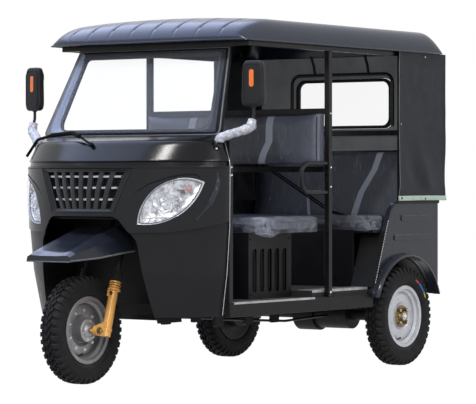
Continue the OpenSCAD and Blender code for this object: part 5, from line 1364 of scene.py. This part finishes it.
# flares and housings over the rear wheels
# section of the flare as (across, radius)
FLARE = ((600.5, 337), (612, 338.5), (626, 337.5), (636, 335), (642, 331), (644, 326.5), (643, 322.6),
         (639, 322.2), (625, 323.5), (600.5, 323.5))
HOOD_XS, HOOD_R, FLAT_R = (448, 460, 500, 540, 574), (321.5, 317.5), 320
arches = Shape()
low_a, low_h, top = math.asin(112 / 330), math.asin(131.5 / 322), math.asin((482.5 - 265) / FLAT_R)
starts = ((low_a, 49), (low_h, 41), (top, 41))
flare_turns, hood_turns, flat_turns = (spread(a, math.pi - a, n) for a, n in starts)
disc = [(FLAT_R * COS(a), FLAT_R * SIN(a)) for a in flat_turns]
for side in (1, -1):
    arches.put(lofted_ends([[round_rear(side * x, r, a) for x, r in FLARE] for a in flare_turns]))
    arches.put(tube([round_rear(side * 641, 325.5, a) for a in flare_turns], 3.4, 8))
    hood = [[[round_rear(side * x, r, a) for x in HOOD_XS] for a in hood_turns] for r in HOOD_R]
    arches.put(thick(*hood), 1)
    arches.put(prism(disc, lambda u, v, t: (side * t, 2000 + u, 265 + v), 447.5, 451.5), 1)
    for a in spread(low_a + 0.12, math.pi - low_a - 0.12, 7):
        rivet = [(-2, 6), (1.2, 6), (2.6, 4), (3, 0)]
        arches.put(turned(round_rear(side * 606, 338, a), (0, COS(a), SIN(a)), rivet, 14), 2)
arches = arches.make("wheel_arch_forms", ["arch", "box", "arch"], deg=40)
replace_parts(arches, "wheel_arches")

# clear film on the cushions: its whitish colour is partly the film's own milkiness and partly painted
# highlights of its creases, and shows most on the near side and round the near front corner of the driver's
# cushion
FILM_CORNER = (0.47, -0.21, 0.77)
nt = FINISHES["film"].node_tree
clear = noise_at(nt, coords(nt, (13, 13, 24)), 1.0, 6.0, 0.6, 1.2)
near = nt.nodes.new("ShaderNodeVectorMath")
near.operation = "DISTANCE"
near.inputs[1].default_value = FILM_CORNER
link(nt, coords(nt), near.inputs[0])
across = nt.nodes.new("ShaderNodeSeparateXYZ")
link(nt, coords(nt), across.inputs[0])
sideways = span(nt, across.outputs["X"], 0.3, 0.47, 0.1, 0.5)
near_side_weight = calc(nt, "ADD", sideways, span(nt, near.outputs["Value"], 0.02, 0.13, 0.5, 0.0))
film_milk_and_painted_highlight = calc(nt, "MULTIPLY", span(nt, clear, 0.4, 0.72, 0.08, 0.42), near_side_weight)
link(nt, film_milk_and_painted_highlight, nt.nodes["Principled BSDF"].inputs["Alpha"])


def even(points, step):
    """The path cut into even steps."""
    out = []
    for a, b in zip(points, points[1:]):
        k = max(1, round((b - a).length / step))
        out += [a.lerp(b, i / k) for i in range(k)]
    return out + [points[-1]]


def film(name, path, inward, top, low, rests):
    """Film over the edge of a cushion: path is its plan line, inward the run on top, low its lower edge."""
    line = even(path, 5)
    rows = []
    for i, p in enumerate(line):
        a, b = line[max(i - 1, 0)], line[min(i + 1, len(line) - 1)]
        d = (b - a).normalized()
        side = Vector((d.y, -d.x, 0))
        drop = low(i / (len(line) - 1))
        fall = [(p - side * inward * (1 - k / 9), top + 0.5 - 4.5 * (k / 9) ** 6) for k in range(10)]
        fall += [(p + side * 1.5, mix(top - 5, drop, k / 11)) for k in range(1, 12)]
        for k, (q, z) in enumerate(fall):
            at = Vector((q.x, q.y, z))
            wave = noise.fractal(at * 0.03, 0.8, 2.2, 4) * 2.4 + abs(noise.noise(at * 0.055)) * 3.6
            push = max(wave, -1.0) + 1.6
            rows.append(at + (Vector((0, 0, 1)) if k < 9 else side) * push)
    n = 21
    m = len(rows) // n
    face = [rows[i * n:(i + 1) * n] for i in range(m)]
    lift = [[p + Vector((0.2, -0.2, 0.4)) for p in r] for r in face]
    ob = Shape().put(thick(lift, face)).make(name, "film", deg=70)
    wide = sum((b - a).length for a, b in zip(line, line[1:])) * 0.001
    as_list(rests)


corner = rounded([(200, 849, 0), (501, 849, 0), (501, 1308, 0)], 40, 8)
driver_low = lambda s: 730 - 22 * math.exp(-((s - 0.43) / 0.09) ** 2)
film("driver_cushion_film", corner, 75, 808, driver_low, ["driver_cushion_cover"])
corner = rounded([(-420, 1737, 0), (561, 1737, 0), (561, 1838, 0)], 40, 8)
film("bench_cushion_film", corner, 90, 808, lambda s: 731 + 3 * SIN(19 * s), ["bench_cushion_cover"])


def cover_line(ob, points):
    """Points on the front of a cover, given as (x, z)."""
    tree = BVHTree.FromPolygons([v.co for v in ob.data.vertices], [p.vertices for p in ob.data.polygons])
    line = []
    for p in even([Vector((x, 0, z)) for x, z in points], 8):
        hit = tree.ray_cast(Vector((p.x * 0.001, -3.0, p.z * 0.001)), Vector((0, 1, 0)))[0]
        if hit:
            line.append((p.x, hit.y * 1000 + MID, p.z))
    return line


# piping on the covers
piping = Shape()
for dx in (0, 26):
    bead = cover_line(bench_back, [(-550 + dx, 1110), (-30 + dx, 824), (106, 797), (450, 790)])
    piping.put(tube(bead, 4.6, 8), 1)
for ob, x, z0, z1 in ((bench_back, 548, 750, 1150), (driver_back, 548, 1084, 1326)):
    for side in (1, -1):
        piping.put(tube(cover_line(ob, [(side * x, z0), (side * x, z1)]), 3.4, 8))
piping.make("seat_piping", ["piping", "matt"], deg=60)

# trim on the body: edges, strips, bolts, beads and small plates
trim = Shape()
# packing between the driver's backrest and its rail
lo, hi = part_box("driver_backrest")
pack = [[v * 1000 + d for v, d in zip(p, (0, MID, 0))] for p in (lo, hi)]
low = (pack[0][0] + 12, pack[0][1] + 26, pack[1][2] - 40)
high = (pack[1][0] - 12, pack[1][1] - 26, pack[1][2] + 4)
trim.put(box(low, high), 3)
# hoop over the rear window and its stays
hoop = [(-338, 2302, 1300), (-338, 2302, 1590), (338, 2302, 1590), (338, 2302, 1300)]
trim.put(tube(rounded(hoop, 60, 8), 9.5, 12), 6)
for x in (-180, 180):
    trim.put(tube(rounded([(x, 2302, 1588), (x, 2290, 1640), (x, 2262, 1694)], 30, 5), 8, 10), 6)
# sections of the worn strips, the bead's bends and the bolts as (y, z, radius)
SILL_LIP = ((601.6, 389), (601.6, 399), (572, 399), (572, 396.6), (600.2, 396.6), (600.2, 390))
STEP_LIP = ((568.9, 420), (568.9, 433), (478, 433), (478, 430.4), (567.9, 430.4), (567.9, 420))
BEAD = ((1702, 379), (1716, 452), (1842, 786), (1872, 842), (1910, 872), (1962, 885))
BOLTS = ((424, 1062, 3.6), (424, 1023, 3.6), (1298, 1343, 3.8), (1298, 1064, 3.6), (1298, 964, 3.6),
         (1298, 420, 4.5))
SKIRT = ((0, 302), (310, 302), (340, 322), (340, 346), (0, 346))
LINER_XS, LINER_TOP, LINER_REAR = (345, 299), 690, 352
for side in (1, -1):
    flip = lambda x, y, z: (side * x, y, z)
    door = [nose_pt(side * 90, z, -1.2) for z in spread(336, 1064, 30) + spread(1092, 1184, 6)]
    trim.put(tube([(x, y + 1, z) for x, y, z in door], 1.9, 8))
    # worn strips on the sill and the passenger step
    trim.put(lofted_ends([[flip(x, y, z) for x, z in SILL_LIP] for y in spread(446, 1150, 12)]), 1)
    trim.put(lofted_ends([[flip(x, y, z) for x, z in STEP_LIP] for y in spread(1173, 1690, 10)]), 1)
    for y in spread(500, 1120, 5):
        trim.put(turned(flip(585, y, 398.6), (0, 0, 1), [(0, 5), (1, 5), (2.2, 3), (2.4, 0)], 12), 2)
    # rubber bead down the front edge of the rear panel, with bright dashes over it that are a painted broken
    # highlight
    trim.put(tube(rounded([flip(601, y, z) for y, z in BEAD], 40, 5), 4.0, 8), 3)
    low, high = Vector(flip(604.2, *BEAD[1])), Vector(flip(604.2, *BEAD[2]))
    for k in range(25):
        trim.put(tube([low.lerp(high, (k + 0.1) / 25), low.lerp(high, (k + 0.72) / 25)], 2.0, 6), 0)
    for y, z, r in BOLTS:
        trim.put(hexbolt(flip(598, y, z), (side, 0, 0), r, 5), 2)
    # painted highlights in grey along the upper edges and rear ends of the pressed ribs
    for y0, y1, z in ((1976, 2262, 793), (1906, 2300, 690)):
        rib = [flip(605, y, q) for y, q in ((y0, z + 15), (y1, z + 15), (y1, z - 13))]
        trim.put(tube(rounded(rib, 12, 6), 1.6, 6), 5)
    # plate that closes the front of the wheel housing
    slant = lambda x, d: [flip(x, 1708 + (z - 432) * 0.377 + d, z) for z in spread(432, 720, 7)]
    plate = [[slant(x, d) for x in spread(452, 596, 5)] for d in (0, 3)]
    trim.put(thick(*plate), 4)
    # lips and screws of the seat box's louvres
    for i in range(5):
        y = 980 + (i - 2) * 66
        hood = [(y - 18, 440.6), (y - 17, 446), (y - 14.5, 447), (y - 13.4, 440.6)]
        rings = []
        for z in spread(432, 648, 13):
            lift = smooth(0, 22, min(z - 432, 648 - z))
            rings.append([flip(mix(440.6, x, lift), u, z) for u, x in hood])
        trim.put(lofted_ends(rings), 4)
    for y in (806, 1154):
        for z in (420, 700):
            trim.put(hexbolt(flip(440.4, y, z), (side, 0, 0), 4.5, 4), 4)
    # liner beside the front wheel, from the apron back to the bulkhead
    liner = []
    for z in spread(300, LINER_TOP, 14):
        x = mix(*LINER_XS, (z - ARCH_FOOT[1]) / (LINER_TOP - ARCH_FOOT[1])) + 4
        _, w, yc, d, n = nose_row(z)
        y0 = yc - d * (1 - (x / w) ** n) ** (1 / n) + 9
        liner.append([(x, y, z) for y in spread(y0, LINER_REAR, 6)])
    lining = [[[flip(x + t, y, z) for x, y, z in r] for r in liner] for t in (0, 3)]
    trim.put(thick(*lining), 4)
    # brake rod under the floor
    rod = [flip(170, y, z) for y, z in ((820, 312), (900, 284), (1500, 248), (1900, 262))]
    trim.put(tube(rounded(rod, 60, 6), 7, 10), 4)
    for y in (900, 1160, 1400):
        trim.put(prism(soft_rect(70, 90, 8), lambda u, v, t: flip(t, y + u, 290 + v), 162, 178), 4)
    # skirt under the bulkhead
    trim.put(prism(SKIRT, lambda u, v, t: flip(u, t, v), 357, 361), 4)
    # sleeves on the arm loops
    loop = [flip(583, y, z) for y, z in ((1276, 936), (1050, 936), (1050, 1086), (1276, 1086))]
    trim.put(tube(rounded(loop, 74, 12), 11.5, 14), 6)
trim.make("body_trim", ["glint", "worn", "steel", "rubber", "box", "rimgrey", "tube"], deg=40)

# fork: collars, bellows, brackets and axle nuts
RAKE = RAD(16.5)


def steer_pt(x, ly, lz):
    return (x, 75 + ly * COS(RAKE) + lz * SIN(RAKE), 265 - ly * SIN(RAKE) + lz * COS(RAKE))


fork = Shape()
along = Vector(steer_pt(0, 0, 1)) - Vector(steer_pt(0, 0, 0))
for side in (1, -1):
    x = side * 98
    fork.put(turned(steer_pt(x, 0, 196), along, [(0, 23.2), (3, 33), (10, 34), (12, 30), (13, 24)], 28))
    for lz in (212, 224, 236):
        fork.put(turned(steer_pt(x, 0, lz), along, [(0, 25.2), (2, 29), (8, 29), (10, 25.2)], 28))
    bellows = [(5.5 * k, 25.4 if k % 2 else 29.0) for k in range(11)]
    fork.put(turned(steer_pt(x, 0, 248), along, bellows, 28), 1)
    plate = [(-40, 166), (-22, 158), (-22, 200), (-40, 194)]
    fork.put(prism(plate, lambda u, v, t: steer_pt(t, u, v), x - 7, x + 7))
    fork.put(hexbolt(steer_pt(x + side * 7, -31, 180), (side, 0, 0), 7, 6), 2)
    fork.put(turned(steer_pt(x, 0, -8), along, [(0, 23.2), (2, 26), (16, 26), (18, 23.2)], 28))
    fork.put(hexbolt((side * 112, 0, 265), (side, 0, 0), 13, 12), 2)
    fork.put(turned((side * 112, 0, 265), (side, 0, 0), [(0, 5), (19, 5), (20.5, 3.5)], 14), 2)
    fork.put(hexbolt(steer_pt(x, -24, 12), (0, -COS(RAKE), SIN(RAKE)), 7, 7), 2)
    # grips with rings and a lever
    a, b = Vector(steer_pt(side * 225, 128, 888)), Vector(steer_pt(side * 350, 162, 888))
    for k in range(11):
        ring = [(0, 16.2), (1.5, 18), (5, 18), (6.5, 16.2)]
        fork.put(turned(a.lerp(b, 0.1 + 0.075 * k), b - a, ring, 20), 3)
    lever = [a.lerp(b, -0.1)]
    for share, ahead, up in ((0.05, -34, 8), (0.5, -46, 4), (0.95, -40, 2)):
        lever.append(a.lerp(b, share) + Vector((0, ahead, up)))
    fork.put(tube(rounded(lever, 20, 5), 4.6, 10), 2)
    fork.put(turned(a.lerp(b, -0.12), b - a, [(0, 14), (2, 19), (16, 19), (18, 14)], 20), 3)
fork.make("fork_details", ["gold", "rubber", "zinc", "plastic"], "steering", deg=32)

# fender over the front wheel: flanks that flare to the rear, a hollow between two crown lines
# each row is y, then the lower edge, the shoulder and the crown as (x, z), and the height at the middle
FENDER = ((-250, (135, 612), (131, 630), (114, 637), 634), (-215, (141, 614), (137, 643), (110, 657), 652),
          (-60, (164, 624), (152, 682), (99, 714), 706.5), (130, (195, 649), (169, 719), (113, 771), 764.5),
          (170, (200, 653), (171, 721), (112, 770), 756))
FENDER_TURNS = 5


def fender_row(y, deep):
    """One section, from the left edge over the crown to the right, deep millimetres under the outside."""
    i = 0
    while i < len(FENDER) - 2 and y > FENDER[i + 1][0]:
        i += 1
    a, b = FENDER[i], FENDER[i + 1]
    f = (y - a[0]) / (b[0] - a[0])
    low, shoulder, crown = ([mix(p, q, f) for p, q in zip(a[k], b[k])] for k in (1, 2, 3))
    centre = mix(a[4], b[4], f)
    half = []
    for (x0, z0), (x1, z1) in ((low, shoulder), (shoulder, crown)):
        half += [(mix(x0, x1, k / FENDER_TURNS), mix(z0, z1, k / FENDER_TURNS)) for k in range(FENDER_TURNS)]
    half += [(x, mix(centre, crown[1], smooth(44, crown[0], x))) for x in spread(crown[0], 0, 12)]
    line = half + [(-x, z) for x, z in half[-2::-1]]
    back = smooth(100, 170, y)
    return [(x * (1 - deep / 160), y - 24 * back * math.exp(-(x / 62) ** 2), z - deep) for x, z in line]


fender_ys = spread(-250, -215, 5) + spread(-200, 120, 17) + spread(130, 170, 6)
fender = Shape().put(thick([fender_row(y, 0) for y in fender_ys], [fender_row(y, 4) for y in fender_ys]))
# grey beads along the flanks' lower edges are painted highlight
for k in (0, -1):
    fender.put(tube([fender_row(y, 2)[k] for y in fender_ys], 4.6, 10), 1)
# upright face across the front, with a painted highlight in grey along its lower edge
front_line = fender_row(-250, 0)
face = [[[(x, y, mix(607, z, k / 3)) for k in range(4)] for x, _, z in front_line] for y in (-253, -248)]
fender.put(thick(*face))
fender.put(tube([(x, -251, 607) for x, _, _ in front_line], 3.4, 8), 1)
fender.put(tube(fender_row(170, 2), 3.0, 8))
fender = fender.make("fender_skin", ["fender", "rimgrey"], "steering", deg=24)
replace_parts(fender, "front_fender")

# wiper blade over its arm
WIPER = [(-60, 58, 1214), (-150, 118, 1232), (-330, 172, 1224), (-470, 225, 1204), (-540, 222, 1120)]
blade = tube(rounded(WIPER, 30, 5), lambda s: 11.0 if s < 0.5 else 7.5, 12)
Shape().put(blade).make("wiper_blade", "matt", deg=50)
